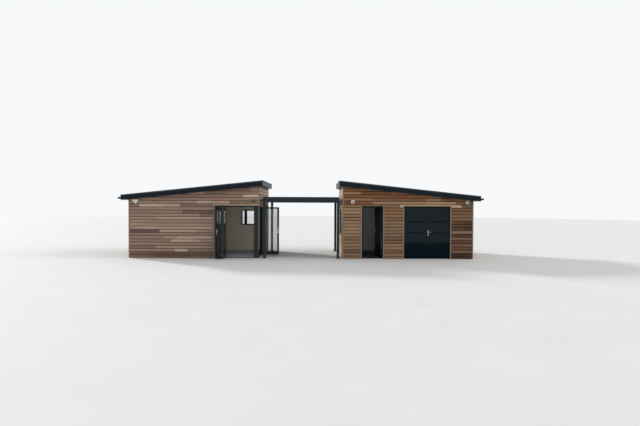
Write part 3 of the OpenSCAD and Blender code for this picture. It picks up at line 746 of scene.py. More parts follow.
board = block((0, tongue_y, GAP), (1, BOARD_T, PITCH + GAP + TONGUE_H))
edit(board, "faces", everything)
bpy.ops.mesh.bisect(plane_co=(0, 0, PITCH), plane_no=(0, 0, 1))
edit(board, "faces", lambda middle, normal: normal.y < -0.9 and middle.z < PITCH)
push(0, -tongue_y, 0)
edit(board, "edges", lambda middle, along: abs(along.x) > 0.9 and middle.y < 0.001)
bpy.ops.mesh.bevel(offset=EASING, segments=2, affect="EDGES")
edit(board, "faces", lambda middle, normal: abs(middle.y - tongue_y) < 1e-4 and middle.z < PITCH)
bpy.ops.mesh.delete(type="FACE")
done()
print("board:", len(board.data.vertices), "corners,", len(board.data.polygons), "faces")

# %% [markdown]
# ## Where the boards end
#
# Boards are laid row by row from the bottom. Their butt joints fall at random but keep away from
# those in the row below, because a line of joints would look like a seam. A joint too near a jamb
# would leave a stub, so it is left out. Where a row meets an opening, one joint is put inside the
# opening, so that two different boards stand on its two sides.

# %% Share out the joints of a row
SHORTEST_STEP = 0.9
LONGEST_STEP = 3.4
SIDESTEP = 0.4
NEAREST_JOINT = 0.25
NEAREST_JAMB = 0.45
NEAREST_PICK = 0.3
NEAREST_END = 0.5


def chance_joints(rng, start, length, last):
    """Butt joints of one row, kept away from those of the row below."""
    places = [start]
    while True:
        step = rng.uniform(SHORTEST_STEP, LONGEST_STEP)
        nearest = min([abs(places[-1] + step - j) for j in last] or [1])
        if nearest < NEAREST_JOINT:
            step += SIDESTEP
        if places[-1] + step > length - NEAREST_END:
            return [*places, length]
        places.append(places[-1] + step)


def joints_of_row(rng, ends, heights, openings, last, picked):
    """Chance joints clear of the jambs, one inside each opening, and those of picked boards."""
    start, length = ends
    z0, z1 = heights
    jambs = [s for a, b, low, high in openings for s in (a, b) if z0 < high and z1 > low]
    joints = [
        j for j in chance_joints(rng, start, length, last)
        if j in ends or all(abs(j - s) > NEAREST_JAMB for s in jambs)
    ]
    joints += [
        (a + b) / 2 for a, b, low, high in openings if a > start and low < z0 and high > z1
    ]
    joints.sort()
    for s0, s1, tone, hue in picked:
        s0, s1 = max(s0, start), min(s1, length)
        joints = [j for j in joints if j <= s0 - NEAREST_PICK or j >= s1 + NEAREST_PICK]
        joints = sorted(set(joints) | {s0, s1, start, length})
    return joints


print("joints can be shared out")

# %% [markdown]
# ## Cutting round the openings
#
# A board that meets a window or a door is sawn off at the jambs, and sawn along its length where
# it runs over the head or under the sill. What is left of it is a list of blocks, each with two
# ends and two heights. Only the board's own two ends get the fine gap of a butt joint.

# %% Find what the openings leave of a board
WALL_Z0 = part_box("store_cladding")[0].z
JOINT = 0.0012
SHORTEST = 0.025
SAME = 1e-6


def free_heights(heights, s, openings):
    """The heights of a row that no opening takes, at one place along the wall."""
    free = [(max(heights[0], WALL_Z0), heights[1])]
    for a, b, low, high in openings:
        if a < s < b:
            below = [(z0, min(z1, low)) for z0, z1 in free if low > z0]
            above = [(max(z0, high), z1) for z0, z1 in free if high < z1]
            free = [(z0, z1) for z0, z1 in below + above if z1 > z0]
    return free


def parts_of_board(s0, s1, heights, openings):
    """The ends and heights of each part of a board that the openings leave."""
    cuts = {s0, s1}
    for a, b, low, high in openings:
        if heights[0] < high - SAME and heights[1] > low + SAME:
            cuts |= {s for s in (a, b) if s0 < s < s1}
    cuts = sorted(cuts)
    parts = []
    for a, b in zip(cuts, cuts[1:]):
        for low, high in free_heights(heights, (a + b) / 2, openings):
            if b - a > SHORTEST and high - low > SHORTEST:
                parts.append(((a + JOINT * (a == s0), b - JOINT * (b == s1)), (low, high)))
    return parts


print("the openings can be cut")

# %% [markdown]
# ## Laying the boards
#
# Each board is a copy of the model whose ends and edges are moved to its own cuts, and all copies
# of one building make one mesh. They are collected as plain lists of corners and faces, because
# joining many hundreds of separate pieces by an operator is slow.

# %% Collect the boards of a building
model_corners = [tuple(vertex.co) for vertex in board.data.vertices]
model_faces = [tuple(face.vertices) for face in board.data.polygons]
bpy.data.objects.remove(board)
GRAIN_SPREAD = 400


class Boards:
    """Collects the corners, faces and board attributes of one building's cladding."""

    def __init__(self, seed, pitch, first_z):
        self.random = random.Random(seed)
        self.pitch = pitch
        self.first_z = first_z
        self.corners = []
        self.faces = []
        self.tones = []
        self.hues = []
        self.grain = []

    def add(self, place, ends, heights, row_z, looks, start):
        """One board between two cuts. place turns (along, depth, height) into a point."""
        first = len(self.corners)
        low, high = heights
        tone, hue, shift = looks
        row_top = row_z + self.pitch
        for along, depth, height in model_corners:
            s = ends[0] if along < 0.5 else ends[1]
            if height < PITCH / 2:
                z = height + (row_z if low <= row_z + SAME else low - GAP)
                grain_z = height
            else:
                z = height - PITCH + row_top
                if high < row_top - SAME:
                    z = min(z, high)
                grain_z = z - row_top + PITCH
            self.corners.append(place(s, depth, z))
            self.tones.append(tone)
            self.hues.append(hue)
            self.grain.append((s - start + shift, grain_z, shift))
        self.faces += [tuple(first + i for i in face) for face in model_faces]

    def lay_wall(self, place, ends, top_z, openings, tone_of, chosen):
        """Rows of boards between two ends, cut round openings given as (s0, s1, z0, z1)."""
        row = -1
        joints = []
        while self.first_z + row * self.pitch < top_z:
            row_z = self.first_z + row * self.pitch
            heights = (row_z, row_z + self.pitch)
            picked = chosen.get(row, [])
            joints = joints_of_row(self.random, ends, heights, openings, joints, picked)
            for s0, s1 in zip(joints, joints[1:]):
                tone, hue = tone_of(row, (s0 + s1) / 2, self.random)
                for p0, p1, picked_tone, picked_hue in picked:
                    if p0 < (s0 + s1) / 2 < p1:
                        tone, hue = picked_tone, picked_hue
                looks = (tone, hue, self.random.uniform(0, GRAIN_SPREAD))
                for part_ends, part_heights in parts_of_board(s0, s1, heights, openings):
                    self.add(place, part_ends, part_heights, row_z, looks, s0)
            row += 1


print("a board has", len(model_corners), "corners and", len(model_faces), "faces")

# %% [markdown]
# ## Choosing the boards
#
# Most boards take a tone by chance, within what suits their wall. A few stand out so much that
# they are listed one by one, such as the pale one over the double doors. A pick is a row with the
# distances of its two ends from the inner corner, a tone from dark to pale, and a hue from red,
# below nothing, to olive.

# %% Pick boards
# The right-hand pier's rows are listed with dark tones: their own tones together with painted
# shade of a cast shadow.
PIER = (4.33, 5.16)
PIER_PICKS = {
    0: (0.03, -0.2), 1: (0.34, 0.0), 4: (0.03, -0.3), 5: (0.32, 0.1), 7: (0.48, 0.0),
    8: (0.0, -0.3), 11: (0.36, 0.1),
}
ROOM_PICKS = {
    0: [(1.84, 5.16, 0.14, 0.0)],
    1: [(2.86, 3.38, 0.88, 0.1)],
    5: [(1.84, 3.26, 0.8, 0.0)],
    7: [(2.5, 3.97, 0.76, 0.0), (3.97, 5.16, 0.06, 0.0)],
    11: [(1.84, 4.1, 0.72, 0.0)],
    13: [(1.84, 3.06, 0.06, 0.0)],
    15: [(0.04, 1.84, 0.86, 0.25), (3.73, 4.77, 0.86, 0.1)],
    16: [(0.04, 1.05, 0.2, 1.0), (1.05, 1.2, 0.95, 0.3), (1.2, 2.5, 0.84, 0.0),
         (2.5, 4.3, 0.56, -0.1), (4.3, 5.16, 0.62, 0.0)],
    17: [(0.04, 0.95, 0.66, 0.5), (0.95, 3.9, 0.5, 0.0)],
    18: [(0.04, 0.66, 0.97, 0.0), (0.66, 2.8, 0.44, 0.0)],
    19: [(0.04, 1.30, 0.52, 0.35), (1.30, 2.2, 0.4, 0.8)],
    20: [(0.04, 0.36, 0.62, 0.2), (0.36, 2.0, 0.3, 0.0)],
}
STORE_PICKS = {
    **{row: [(*PIER, *looks)] for row, looks in PIER_PICKS.items()},
    15: [(0.04, 2.28, 0.52, -0.35), (2.28, 4.73, 1.0, 0.0), (4.73, 5.16, 0.3, 0.3)],
    16: [(0.04, 1.2, 0.26, -0.6), (1.2, 3.3, 0.76, -0.2), (3.3, 4.5, 0.86, -0.25),
         (4.5, 5.16, 0.36, 0.8)],
    17: [(0.04, 1.2, 0.6, -0.35), (1.2, 3.0, 0.4, -0.5), (3.3, 3.9, 0.72, -0.35),
         (3.9, 4.5, 0.35, -0.9)],
    18: [(0.04, 0.9, 0.26, -0.6), (0.9, 2.6, 0.45, -0.65)],
    19: [(0.04, 0.72, 0.7, -0.3), (0.72, 1.9, 0.3, -0.8)],
}
print(len(ROOM_PICKS) + len(STORE_PICKS), "rows have boards picked by hand")

# %% [markdown]
# ## Tones by chance
#
# The other boards draw a tone and a hue, and each wall bends the draw its own way: walls weather
# differently, and the walls that face each other and the store's right-hand pier also carry
# painted light and shade. These are functions of the row and of the distance along the wall, so
# that a pier or the rows over the doors can differ from the rest of a front.

# %% Draw tones wall by wall
HEAD_ROW = 15
PIER_START = 4.1


def any_board(row, s, rng):
    """Tone and hue of a board nobody picked: mostly middling, now and then olive."""
    tone = min(1.0, max(0.0, rng.gauss(0.47, 0.24)))
    return tone, rng.choice([0, 0, 0, -0.12, 0.15, 0.35])


def calm_board(row, s, rng):
    """A wall laid from one pallet, with fewer very pale or very dark boards."""
    tone, hue = any_board(row, s, rng)
    return 0.48 + (tone - 0.47) * 0.75, hue


def bleached_and_lit_board(row, s, rng):
    """The walls that face each other are drawn paler: painted light for the sun and bounced light
    that fall between the buildings, on top of some sun-bleaching.
    """
    tone, hue = any_board(row, s, rng)
    # Painted light: these walls' boards take paler tones.
    return min(1.0, 0.4 + tone * 0.6), hue


def room_front_board(row, s, rng):
    """The room's front is the most even wall, and a little redder and paler under the roof."""
    tone, hue = any_board(row, s, rng)
    tone = 0.49 + (tone - 0.47) * 0.72
    if row > HEAD_ROW:
        return tone + 0.18, hue * 0.5 - 0.26
    return tone, hue


def store_front_board(row, s, rng):
    """The right-hand pier is drawn darker, as painted shade of a cast shadow, and the boards over
    the doors are redder.
    """
    tone, hue = any_board(row, s, rng)
    if row > HEAD_ROW:
        return tone * 0.5 + 0.42, rng.choice([-0.55, -0.7, -0.35, -0.6])
    # Painted shade: the right-hand pier's boards take darker tones.
    if s > PIER_START and row > 11:
        return 0.22 + tone * 0.15, -0.3
    if s > PIER_START:
        return max(0.0, tone * 0.62 - 0.17), hue * 0.5 - 0.2
    if 1.5 < s < 2.5 and row > 10:
        return tone * 0.7 + 0.32, -0.45
    if s > 1.5:
        return tone * 0.8 + 0.28, hue - 0.1
    return tone * 0.8 + 0.2, hue - 0.1


print("tones can be drawn for every wall")

# %% [markdown]
# ## Measuring the walls
#
# Both buildings are measured from the same place: along a wall from its inner or front corner, in
# from the face of the cladding, and up. The openings are read from the CAD frames that stand in
# them, so the boards end where the frames do. Doors have a jamb trim on each side, which the
# boards stop against.

# %% Measure the walls and their openings
TRIM_W = 0.041
JAMB_W = 0.045
ROOF_FALL = 0.105
LOWEST_CUT = 0.002
HEAD_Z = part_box("front_fold_frame")[1].z
INNER_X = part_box("store_cladding")[0].x
OUTER_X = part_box("store_cladding")[1].x
BACK_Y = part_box("store_cladding")[1].y
INNER_TOP_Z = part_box("store_cladding")[1].z
WIDTH = OUTER_X - INNER_X
DEPTH = BACK_Y - FRONT_Y
WALLS = {"front": WIDTH, "back": WIDTH, "inner": DEPTH, "outer": DEPTH}


def opening_from(name, side, wall):
    """Where a frame starts and ends along its wall, and its lowest and highest points."""
    low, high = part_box(name)
    if wall in ("front", "back"):
        s0, s1 = sorted((side * low.x - INNER_X, side * high.x - INNER_X))
    else:
        s0, s1 = low.y - FRONT_Y, high.y - FRONT_Y
    return s0, s1, low.z, high.z


def with_jambs(opening):
    s0, s1, z0, z1 = opening
    return s0 - JAMB_W, s1 + JAMB_W, z0, z1


def places(side):
    """For each wall, the function that puts (along, depth, height) in the world."""
    return {
        "front": lambda s, d, z: (side * (INNER_X + s), FRONT_Y + d, z),
        "back": lambda s, d, z: (side * (INNER_X + s), BACK_Y - d, z),
        "inner": lambda s, d, z: (side * (INNER_X + d), FRONT_Y + s, z),
        "outer": lambda s, d, z: (side * (OUTER_X - d), FRONT_Y + s, z),
    }


room_openings = {
    "front": [(0, opening_from("front_fold_frame", -1, "front")[1] + JAMB_W, 0, HEAD_Z)],
    "inner": [(0, opening_from("side_fold_frame", -1, "inner")[1] + JAMB_W, 0, HEAD_Z)],
    "back": [opening_from("room_window_frame", -1, "back")],
}
store_openings = {
    "front": [
        with_jambs(opening_from("single_door_frame", 1, "front")),
        with_jambs(opening_from("double_door_frame", 1, "front")),
    ],
    "inner": [opening_from("store_window_frame", 1, "inner")],
}
print("walls:", round(WIDTH, 3), "by", round(DEPTH, 3), "m")

# %% [markdown]
# ## Cladding both buildings
#
# The lists of corners and faces become one mesh for each building, with a tone, a hue and a grain
# position stored at each corner. Then one bisect along the slope of the roof cuts every board
# under it, as a chalk line and a saw would. The room's rows and the store's differ a little in
# pitch and in where they start.

# %% Lay both buildings


def skin(name, corners, faces, material, side, attributes=()):
    """A mesh on a building's walls, cut off under the roof, which falls from the inner wall."""
    mesh = bpy.data.meshes.new(name)
    mesh.from_pydata(corners, [], faces)
    for key, kind, field, values in attributes:
        mesh.attributes.new(key, kind, "POINT").data.foreach_set(field, values)
    made = bpy.data.objects.new(name, mesh)
    bpy.context.scene.collection.objects.link(made)
    mesh.materials.append(material)
    edit(made, "faces", everything)
    bpy.ops.mesh.bisect(
        plane_co=(side * INNER_X, 0, INNER_TOP_Z - LOWEST_CUT),
        plane_no=(side * ROOF_FALL, 0, 1),
        use_fill=True,
        clear_outer=True,
    )
    done()
    turn_outwards(made)
    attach(made, BODY)
    print(name, len(mesh.polygons), "faces")
    return made


def lay_cladding(name, side, boards, openings, material, node, front_board, picks):
    tones = {
        "front": front_board, "inner": bleached_and_lit_board, "back": calm_board, "outer": calm_board
    }
    for wall, length in WALLS.items():
        boards.lay_wall(
            places(side)[wall], (TRIM_W, length - TRIM_W), INNER_TOP_Z, openings.get(wall, []),
            tones[wall], picks if wall == "front" else {},
        )
    attributes = (
        ("board_tone", "FLOAT", "value", boards.tones),
        ("board_hue", "FLOAT", "value", boards.hues),
        ("board_grain", "FLOAT_VECTOR", "vector", [v for point in boards.grain for v in point]),
    )
    made = skin(name, boards.corners, boards.faces, material, side, attributes)
    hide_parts(node)


lay_cladding(
    "room_boards", -1, Boards(11, 0.1277, 0.1115), room_openings, room_cedar, "room_cladding",
    room_front_board, ROOM_PICKS,
)
lay_cladding(
    "store_boards", 1, Boards(23, 0.129, 0.0855), store_openings, store_cedar, "store_cladding",
    store_front_board, STORE_PICKS,
)

# %% [markdown]
# ## Behind the gaps
#
# The gaps between the boards don't show the wall. They show the black breather membrane that is
# stapled over the panels, so a thin dark skin stands just behind the boards.

# %% Membrane behind the boards
breather = coated("breather_membrane", (0.006, 0.006, 0.007), 0.9, specular=0.1)
MEMBRANE_DEPTH = 0.0285
MEMBRANE_T = 0.001
BLOCK_FACES = [(0, 1, 2, 3), (7, 6, 5, 4), (0, 4, 5, 1), (1, 5, 6, 2), (2, 6, 7, 3), (3, 7, 4, 0)]


def membrane_skin(name, side, openings):
    """Thin panels round a building, left out at its openings."""
    corners = []
    faces = []
    for wall, length in WALLS.items():
        place = places(side)[wall]
        holes = openings.get(wall, [])
        stops = {MEMBRANE_DEPTH, length - MEMBRANE_DEPTH}
        levels = {WALL_Z0, INNER_TOP_Z}
        for a, b, low, high in holes:
            stops |= {max(a, MEMBRANE_DEPTH), b}
            levels |= {z for z in (low, high) if WALL_Z0 < z < INNER_TOP_Z}
        stops, levels = sorted(stops), sorted(levels)
        for s0, s1 in zip(stops, stops[1:]):
            for z0, z1 in zip(levels, levels[1:]):
                s, z = (s0 + s1) / 2, (z0 + z1) / 2
                if any(a < s < b and low < z < high for a, b, low, high in holes):
                    continue
                first = len(corners)
                ring = (s0, z0), (s1, z0), (s1, z1), (s0, z1)
                for d in (MEMBRANE_DEPTH, MEMBRANE_DEPTH + MEMBRANE_T):
                    corners += [place(s, d, z) for s, z in ring]
                faces += [tuple(first + i for i in face) for face in BLOCK_FACES]
    skin(name, corners, faces, breather, side)


membrane_skin("room_membrane", -1, room_openings)
membrane_skin("store_membrane", 1, store_openings)

# %% [markdown]
# ## Small pieces: how they are made
#
# What repeats on a building is made once and set out many times: brackets, bolts, clips. A model
# is shaped at the origin with its back on the wall plane, then each copy gets a mesh of its own
# and is moved by a matrix. The room is the store's mirror image, so its copies are mirrored, and
# their faces are turned the right way again after the join.

# %% Helpers for small pieces
MIRROR = Matrix.Scale(-1, 4, (1, 0, 0))
BACK_FACE = Matrix.Scale(-1, 4, (0, 1, 0))


def at(x, y, z):
    return Matrix.Translation((x, y, z))


def in_store(u, v, z):
    """A place given from the store's inner, front, bottom corner."""
    return at(INNER_X + u, FRONT_Y + v, z)


def on_both(u, v, z, turn=0):
    """The same place on the room and on the store, turned about the vertical."""
    placed = in_store(u, v, z) @ Matrix.Rotation(turn, 4, "Z")
    return [MIRROR @ placed, placed]


def join(first, *others):
    if others:
        deselect()
        for piece in (first, *others):
            piece.select_set(True)
        bpy.context.view_layer.objects.active = first
        bpy.ops.object.join()
    return first


def copy_of(model):
    copy = model.copy()
    copy.data = model.data.copy()
    bpy.context.scene.collection.objects.link(copy)
    return copy


def repeat(model, spots):
    """Copies of a model, each with its own mesh, set out by matrices and joined into one."""
    copies = [copy_of(model) for _ in spots]
    for copy, spot in zip(copies, spots):
        copy.data.transform(spot)
    bpy.data.objects.remove(model)
    return join(*copies)


def fit(piece, name, material, body=BODY, replaced=()):
    piece.name = name
    piece.data.name = name
    turn_outwards(piece)
    choose(piece)
    bpy.ops.object.shade_smooth_by_angle(angle=math.radians(35))
    piece.data.materials.clear()
    piece.data.materials.append(material)
    if replaced:
        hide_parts(*replaced)
    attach(piece, body)
    print(name, len(piece.data.polygons), "faces")


print("helpers for small pieces are ready")

# %% [markdown]
# ## Lining the reveals
#
# Between the cladding and each frame the edge of the wall panel would show. A folded metal lining
# covers it. Each length is a thin strip. Round a window, where no trim covers the boards' ends,
# its front edge is turned out by two extrusions, which makes a lip over the boards.

# %% Line the openings
LINING_T = 0.0015
LIP = 0.010
BEHIND_TRIM = 0.003


def lining_length(a, b, turn, depth, lip):
    """One strip along x from a to b that faces +z, then turned about the y axis."""
    strip = block((a, 0 if lip else BEHIND_TRIM, 0), (b, depth, LINING_T))
    if lip:
        edit(strip, "faces", front)
        push(0, -LINING_T, 0)
        edit(strip, "faces", lambda middle, normal: normal.z < -0.9 and middle.y < 0)
        push(0, 0, -LIP)
        done()
    strip.data.transform(turn)
    return strip


def line_opening(opening, depth, lip, sides):
    """Strips on some sides of an opening, in the wall's own terms: along, depth, height."""
    s0, s1, z0, z1 = opening
    z0 = max(z0, WALL_Z0)
    lengths = {
        "head": (-s1, -s0, at(0, 0, z1) @ Matrix.Rotation(math.pi, 4, "Y")),
        "near": (-z1, -z0, at(s0, 0, 0) @ Matrix.Rotation(math.pi / 2, 4, "Y")),
        "far": (z0, z1, at(s1, 0, 0) @ Matrix.Rotation(-math.pi / 2, 4, "Y")),
        "foot": (s0, s1, at(0, 0, z0)),
    }
    return join(*[lining_length(*lengths[name], depth, lip) for name in sides])


def stood_on(wall, side):
    """The matrix that stands an opening's plane on a wall of either building."""
    turn = {
        "front": Matrix.Identity(4),
        "back": at(0, DEPTH, 0) @ BACK_FACE,
        "inner": Matrix(((0, 1, 0, 0), (1, 0, 0, 0), (0, 0, 1, 0), (0, 0, 0, 1))),
    }[wall]
    placed = in_store(0, 0, 0) @ turn
    return MIRROR @ placed if side < 0 else placed


linings = []
for node_name, side, wall, depth, sides in (
    ("single_door_frame", 1, "front", 0.060, ("head", "near", "far")),
    ("double_door_frame", 1, "front", 0.035, ("head", "near", "far")),
    ("front_fold_frame", -1, "front", 0.040, ("head", "far")),
    ("side_fold_frame", -1, "inner", 0.060, ("head", "far")),
    ("store_window_frame", 1, "inner", 0.045, ("head", "near", "far", "foot")),
    ("room_window_frame", -1, "back", 0.045, ("head", "near", "far", "foot")),
):
    lined = line_opening(opening_from(node_name, side, wall), depth, "window" in node_name, sides)
    lined.data.transform(stood_on(wall, side))
    linings.append(lined)
fit(join(*linings), "reveal_linings", frame_metal)

# %% [markdown]
# ## Laps in the roof membrane
#
# The roof is covered with sheets a metre wide that run down the slope. Each sheet laps over its
# neighbour and is welded, which leaves a low flat band with a fine raised edge. A long thin block
# is inset on top and the inner part raised a little, then it is laid on the slope.

# %% Weld the roof sheets
LAP_W = 0.10
LAP_T = 0.003
SHEETS = 4
EDGE_CLEAR = 0.072
COVERING_UP = 0.182
covering_low, covering_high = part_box("store_roof_covering")
roof_x0 = covering_low.x + EDGE_CLEAR
roof_x1 = covering_high.x - EDGE_CLEAR
roof_y0 = covering_low.y + EDGE_CLEAR
roof_y1 = covering_high.y - EDGE_CLEAR
roof_top_z = INNER_TOP_Z + COVERING_UP - (roof_x0 - INNER_X) * ROOF_FALL
slope = math.atan(ROOF_FALL)
lap = block((0, 0, -0.001), ((roof_x1 - roof_x0) / math.cos(slope), LAP_W, LAP_T))
edit(lap, "faces", top)
inset(0.012, z=0.0015)
done()
lap_spots = []
for i in range(1, SHEETS):
    y = roof_y0 + (roof_y1 - roof_y0) * i / SHEETS - LAP_W / 2
    spot = at(roof_x0, y, roof_top_z) @ Matrix.Rotation(slope, 4, "Y")
    lap_spots += [spot, MIRROR @ spot]
fit(repeat(lap, lap_spots), "roof_laps", membrane)

# %% [markdown]
# ## Fascia joints
#
# The fascia goes up in three lengths, so each long side has two joints, covered by narrow strips
# of the same board. A strip is a thin block whose front is inset and pressed back a little, so
# that its edges stand up as a fine rim.

# %% Cover the fascia joints
FASCIA_OVER = 0.2
BACK_OVER = 0.15
COVER_W = 0.034
COVER_T = 0.004
COVER_LOW, COVER_HIGH = -0.010, 0.150
JOINTS_AT = (1.74, 3.58)
cover = block((-COVER_W / 2, -COVER_T, COVER_LOW), (COVER_W / 2, 0.002, COVER_HIGH))
edit(cover, "faces", front)
inset(0.006, y=0.0015)
done()
cover_spots = []
for u in JOINTS_AT:
    z = INNER_TOP_Z - u * ROOF_FALL
    cover_spots += on_both(u, -FASCIA_OVER, z) + on_both(u, DEPTH + BACK_OVER, z, math.pi)
fit(repeat(cover, cover_spots), "fascia_joints", fascia_board)

# %% [markdown]
# ## Brackets and clips of the rainwater goods
#
# A gutter hangs on brackets a metre apart and a pipe is held by clips with two lugs. The bracket
# is an arm with a thickened underside and a leg below its near end. The clip is a short ring with
# its lugs extruded out of two of its faces, and then given a thickness.

# %% Make the gutter brackets
GUTTER_U = WIDTH + 0.23
BRACKET_W = 0.024
gutter_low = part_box("gutters")[0].z
arm = block((-0.001, -BRACKET_W / 2, -0.006), (0.095, BRACKET_W / 2, 0.001))
edit(arm, "faces", lambda middle, normal: normal.x < -0.9)
push(-0.0008, 0, 0)
edit(arm, "faces", lambda middle, normal: normal.z < -0.9)
inset(0.004, z=-0.003)
done()
leg = soften(block((-0.001, -BRACKET_W / 2, -0.030), (0.005, BRACKET_W / 2, -0.004)), 0.002)
bracket_spots = [spot for v in (0.1, 1.1, 2.1, 3.1) for spot in on_both(GUTTER_U, v, gutter_low)]
fit(repeat(join(arm, leg), bracket_spots), "gutter_brackets", rainwater)

# %% Make the pipe clips
CLIP_R = 0.038
CLIP_H = 0.03
CLIP_T = 0.0035
LUG = 0.014
PIPE_U = WIDTH + 0.046
PIPE_V = DEPTH - 0.26
ring = tube(CLIP_R, (0, 0, 0), (0, 0, CLIP_H), 24)
edit(ring, "faces", lambda middle, normal: abs(normal.z) > 0.9)
bpy.ops.mesh.delete(type="FACE")
edit(ring, "faces", lambda middle, normal: abs(normal.y) > 0.97)
bpy.ops.mesh.extrude_faces_move(TRANSFORM_OT_shrink_fatten={"value": -LUG})
done()
ring.modifiers.new("thick", "SOLIDIFY").thickness = CLIP_T
choose(ring)
bpy.ops.object.modifier_apply(modifier="thick")
clip_spots = [spot for z in (0.35, 1.65) for spot in on_both(PIPE_U, PIPE_V, z)]
fit(repeat(ring, clip_spots), "pipe_clips", rainwater)

# %% [markdown]
# ## Anchor bolts
#
# Each post stands on a plate held by four bolts. A bolt is a six-sided nut on a round washer. The
# nut's top is inset and drawn up as the threaded end.

# %% Bolt down the posts
PLATE_T = 0.010
WASHER_T = 0.0025
NUT_TOP = 0.0125
BOLT_APART = 0.07
FOOT_HALF = 0.09
nut = tube(0.011, (0, 0, WASHER_T), (0, 0, NUT_TOP), 6)
edit(nut, "faces", top)
bpy.ops.mesh.inset(thickness=0.0045)
push(0, 0, 0.011)
done()
soften(nut, 0.0012, lambda middle, along: middle.z > 0.012 and abs(along.z) < 0.5)
washer = tube(0.0135, (0, 0, 0), (0, 0, WASHER_T), 16)
soften(washer, 0.0008, lambda middle, along: abs(along.z) < 0.5, 1)
feet_low, feet_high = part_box("pergola_feet")
bolt_spots = [
    at(post_x + dx, post_y + dy, PLATE_T)
    for post_x in (feet_low.x + FOOT_HALF, feet_high.x - FOOT_HALF)
    for post_y in (feet_low.y + FOOT_HALF, feet_high.y - FOOT_HALF)
    for dx in (-BOLT_APART, BOLT_APART)
    for dy in (-BOLT_APART, BOLT_APART)
]
fit(repeat(join(nut, washer), bolt_spots), "anchor_bolts", steel)

# %% [markdown]
# ## Lever handles
#
# A lever on a long plate is three shapes: a plate with round corners, a round neck, and a flat
# bar that turns back towards the door so that it can't catch a sleeve. The bar is one block whose
# end is extruded twice, and the key's barrel is inset in the plate below it.

# %% Model the lever
PLATE_W = 0.036
PLATE_LOW, PLATE_HIGH = -0.1584, 0.0816
PLATE_OUT = 0.008
NECK = 0.042
REACH = 0.112
RETURN = 0.020
LOCK_Z = -0.09
plate = block((-PLATE_W / 2, -PLATE_OUT, PLATE_LOW), (PLATE_W / 2, 0, PLATE_HIGH))
soften(plate, 0.012, lambda middle, along: abs(along.y) > 0.9, 4)
soften(plate, 0.0018, lambda middle, along: middle.y < -PLATE_OUT + 1e-4)
bar_y = -PLATE_OUT - NECK
neck = tube(0.0105, (0, 0, 0), (0, bar_y, 0))
bar = block((-0.009, bar_y - 0.007, -0.009), (0.009, bar_y + 0.007, 0.009))
edit(bar, "faces", lambda middle, normal: normal.x > 0.9)
push(REACH - 0.023, 0, 0)
push(0.014, 0, 0)
edit(bar, "faces", lambda middle, normal: normal.y > 0.9 and middle.x > REACH - 0.012)
push(0, RETURN, 0)
done()
soften(bar, 0.0035)
barrel = tube(0.012, (0, 0, LOCK_Z), (0, -PLATE_OUT - 0.004, LOCK_Z))
edit(barrel, "faces", front)
inset(0.0035, y=0.0015)
done()
lever = join(plate, neck, bar, barrel)
print("lever:", len(lever.data.polygons), "faces")

# %% [markdown]
# ## Fitting the levers
#
# The single door and the right-hand leaf of the double doors have a lever on both faces, so the
# model is set out twice on each: once as it is, and once mirrored front to back. They replace the
# CAD levers and ride on their own door. The single door stands open, so its pair is placed from
# the hinge, turned as the door is.

# %% Fit the levers to the doors
LEVER_DEEP = 0.059
SINGLE_OPEN = math.radians(80)
SINGLE_PIVOT = (1.5665, 0.159)
FROM_PIVOT = -0.7045
SINGLE_FACES = (-0.053, -0.009)
double_low, double_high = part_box("double_door_handles")
lever_x = double_low.x + PLATE_W / 2
lever_z = double_low.z - PLATE_LOW
double_faces = [
    at(lever_x, double_low.y + LEVER_DEEP, lever_z),
    at(lever_x, double_high.y - LEVER_DEEP, lever_z) @ BACK_FACE,
]
fit(
    repeat(copy_of(lever), double_faces), "double_door_levers", steel,
    "double_door_right", ["double_door_handles"],
)


def on_single_door(z):
    """The matrix of the open single door, from its hinge."""
    return in_store(*SINGLE_PIVOT, z) @ Matrix.Rotation(-SINGLE_OPEN, 4, "Z")


swung = on_single_door(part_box("single_door_handles")[0].z - PLATE_LOW)
single_faces = [
    swung @ at(FROM_PIVOT, SINGLE_FACES[0], 0),
    swung @ at(FROM_PIVOT, SINGLE_FACES[1], 0) @ BACK_FACE,
]
fit(
    repeat(lever, single_faces), "single_door_levers", steel, "single_door",
    ["single_door_handles"],
)

# %% [markdown]
# ## Weather bars
#
# Rain that runs down a door is thrown clear by a sloping bar near its foot. The bar starts as a
# block whose front top edge is bevelled down to make the slope.

# %% Fit the weather bars
BAR_UP = 0.012
MEETING_CLEAR = 0.006
HINGE_CLEAR = 0.064
SINGLE_BAR = 0.68


def weather_bar(body, length, spot):
    bar = block((0, -0.020, 0), (length, 0.0005, 0.026))
    soften(bar, 0.017, lambda m, along: abs(along.x) > 0.9 and m.y < -0.01 and m.z > 0.02, 1)
    soften(bar, 0.0012)
    bar.data.transform(spot)
    fit(bar, body + "_weather_bar", door_paint, body)


for body, at_low, at_high in (
    ("double_door_left", HINGE_CLEAR, MEETING_CLEAR),
    ("double_door_right", MEETING_CLEAR, HINGE_CLEAR),
):
    low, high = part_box(body + "_leaf")
    spot = at(low.x + at_low, FRONT_Y + DOOR_SET_BACK, low.z + BAR_UP)
    weather_bar(body, high.x - at_high - low.x - at_low, spot)
single_foot = on_single_door(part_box("single_door_leaf")[0].z + BAR_UP)
single_foot = single_foot @ at(-0.735, SINGLE_FACES[0], 0)
weather_bar("single_door", SINGLE_BAR, single_foot)

# %% [markdown]
# ## Camera lenses
#
# The cameras are white with a dark eye. The eye is a short round bar: its front is inset for the
# rim, pushed in, and inset again for the lens, which bulges a little. It points slightly down.

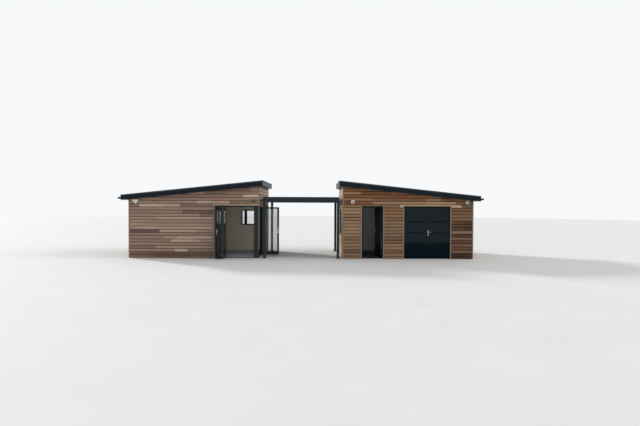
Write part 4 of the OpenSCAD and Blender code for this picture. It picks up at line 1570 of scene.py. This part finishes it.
# %% Put in the lenses
EYE_R = 0.031
CAMERA_HALF = 0.074
CAMERA_OUT = 0.048
DIP = math.radians(12)
dark_glass = coated("camera_glass", (0.004, 0.004, 0.006), 0.3, peel=0.00001, specular=0.25)
eye = tube(EYE_R, (0, -0.028, 0), (0, -0.0545, 0), 32)
edit(eye, "faces", front)
inset(0.004, y=0.003)
inset(0.008, y=-0.002)
inset(0.008, y=-0.002)
done()
cameras_low, cameras_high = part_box("security_cameras")
camera_z = (cameras_low.z + cameras_high.z) / 2
eye_spots = [
    at(x, FRONT_Y - CAMERA_OUT, camera_z) @ Matrix.Rotation(DIP, 4, "X")
    for x in (cameras_low.x + CAMERA_HALF, cameras_high.x - CAMERA_HALF)
]
fit(repeat(eye, eye_spots), "camera_eyes", dark_glass)

# %% [markdown]
# ## Wall lights and the security light
#
# The oval bulkhead lights have a domed cover of smoked glass: half a flattened ball. The security
# light has a row of bright lenses behind its window, which are the cells of a subdivided panel,
# each inset and pressed in, and a dark ball of a sensor below.

# %% Cover the wall lights


def cut_ball(segments, radii, cut_y=0, tilt=0):
    """The front part of a ball, cut off flat at the back."""
    deselect()
    bpy.ops.mesh.primitive_uv_sphere_add(segments=segments, ring_count=12, radius=1)
    ball = settled(radii)
    edit(ball, "faces", everything)
    bpy.ops.mesh.bisect(
        plane_co=(0, cut_y, 0), plane_no=(0, 1, tilt), clear_outer=True, use_fill=True
    )
    done()
    return ball


smoked = coated("smoked_glass", (0.09, 0.085, 0.07), 0.22, peel=0.00003, specular=0.5)
LIGHT_OUT = 0.0345
LIGHT_IN = 0.24
lights_low, lights_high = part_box("wall_lights")
light_z = (lights_low.z + lights_high.z) / 2
light_spots = on_both(LIGHT_IN, 0, light_z) + on_both(0, LIGHT_IN, light_z, -math.pi / 2)
light_spots = [spot @ at(0, -LIGHT_OUT, 0) for spot in light_spots]
dome = cut_ball(32, (0.058, 0.0125, 0.031))
fit(repeat(dome, light_spots), "wall_light_covers", smoked)

# %% Glaze the security light
LAMP_U = 4.905
LAMP_Z = 2.230
BALL_R = 0.0335
lit_window = coated("lamp_window", (0.62, 0.62, 0.56), 0.2, peel=0.00002, specular=0.5)
panel = block((-0.095, -0.0965, 0.030), (0.095, -0.090, 0.082))
edit(panel, "faces", front)
bpy.ops.mesh.subdivide(number_cuts=5)
edit(panel, "faces", front)
bpy.ops.mesh.inset(thickness=0.0022, use_individual=True)
push(0, 0.002, 0)
done()
light_base = at(-(INNER_X + LAMP_U), FRONT_Y, LAMP_Z)
fit(repeat(panel, [light_base]), "security_light_window", lit_window)
ball = cut_ball(24, (BALL_R, BALL_R, BALL_R), 0.004, 0.35)
sensor = repeat(ball, [light_base @ at(0, -0.062, -0.070)])
fit(sensor, "security_light_sensor", smoked)

# %% [markdown]
# ## The view transform
#
# The scene is shown with the Standard view transform.

# %% Set the view transform
bpy.context.scene.view_settings.view_transform = "Standard"
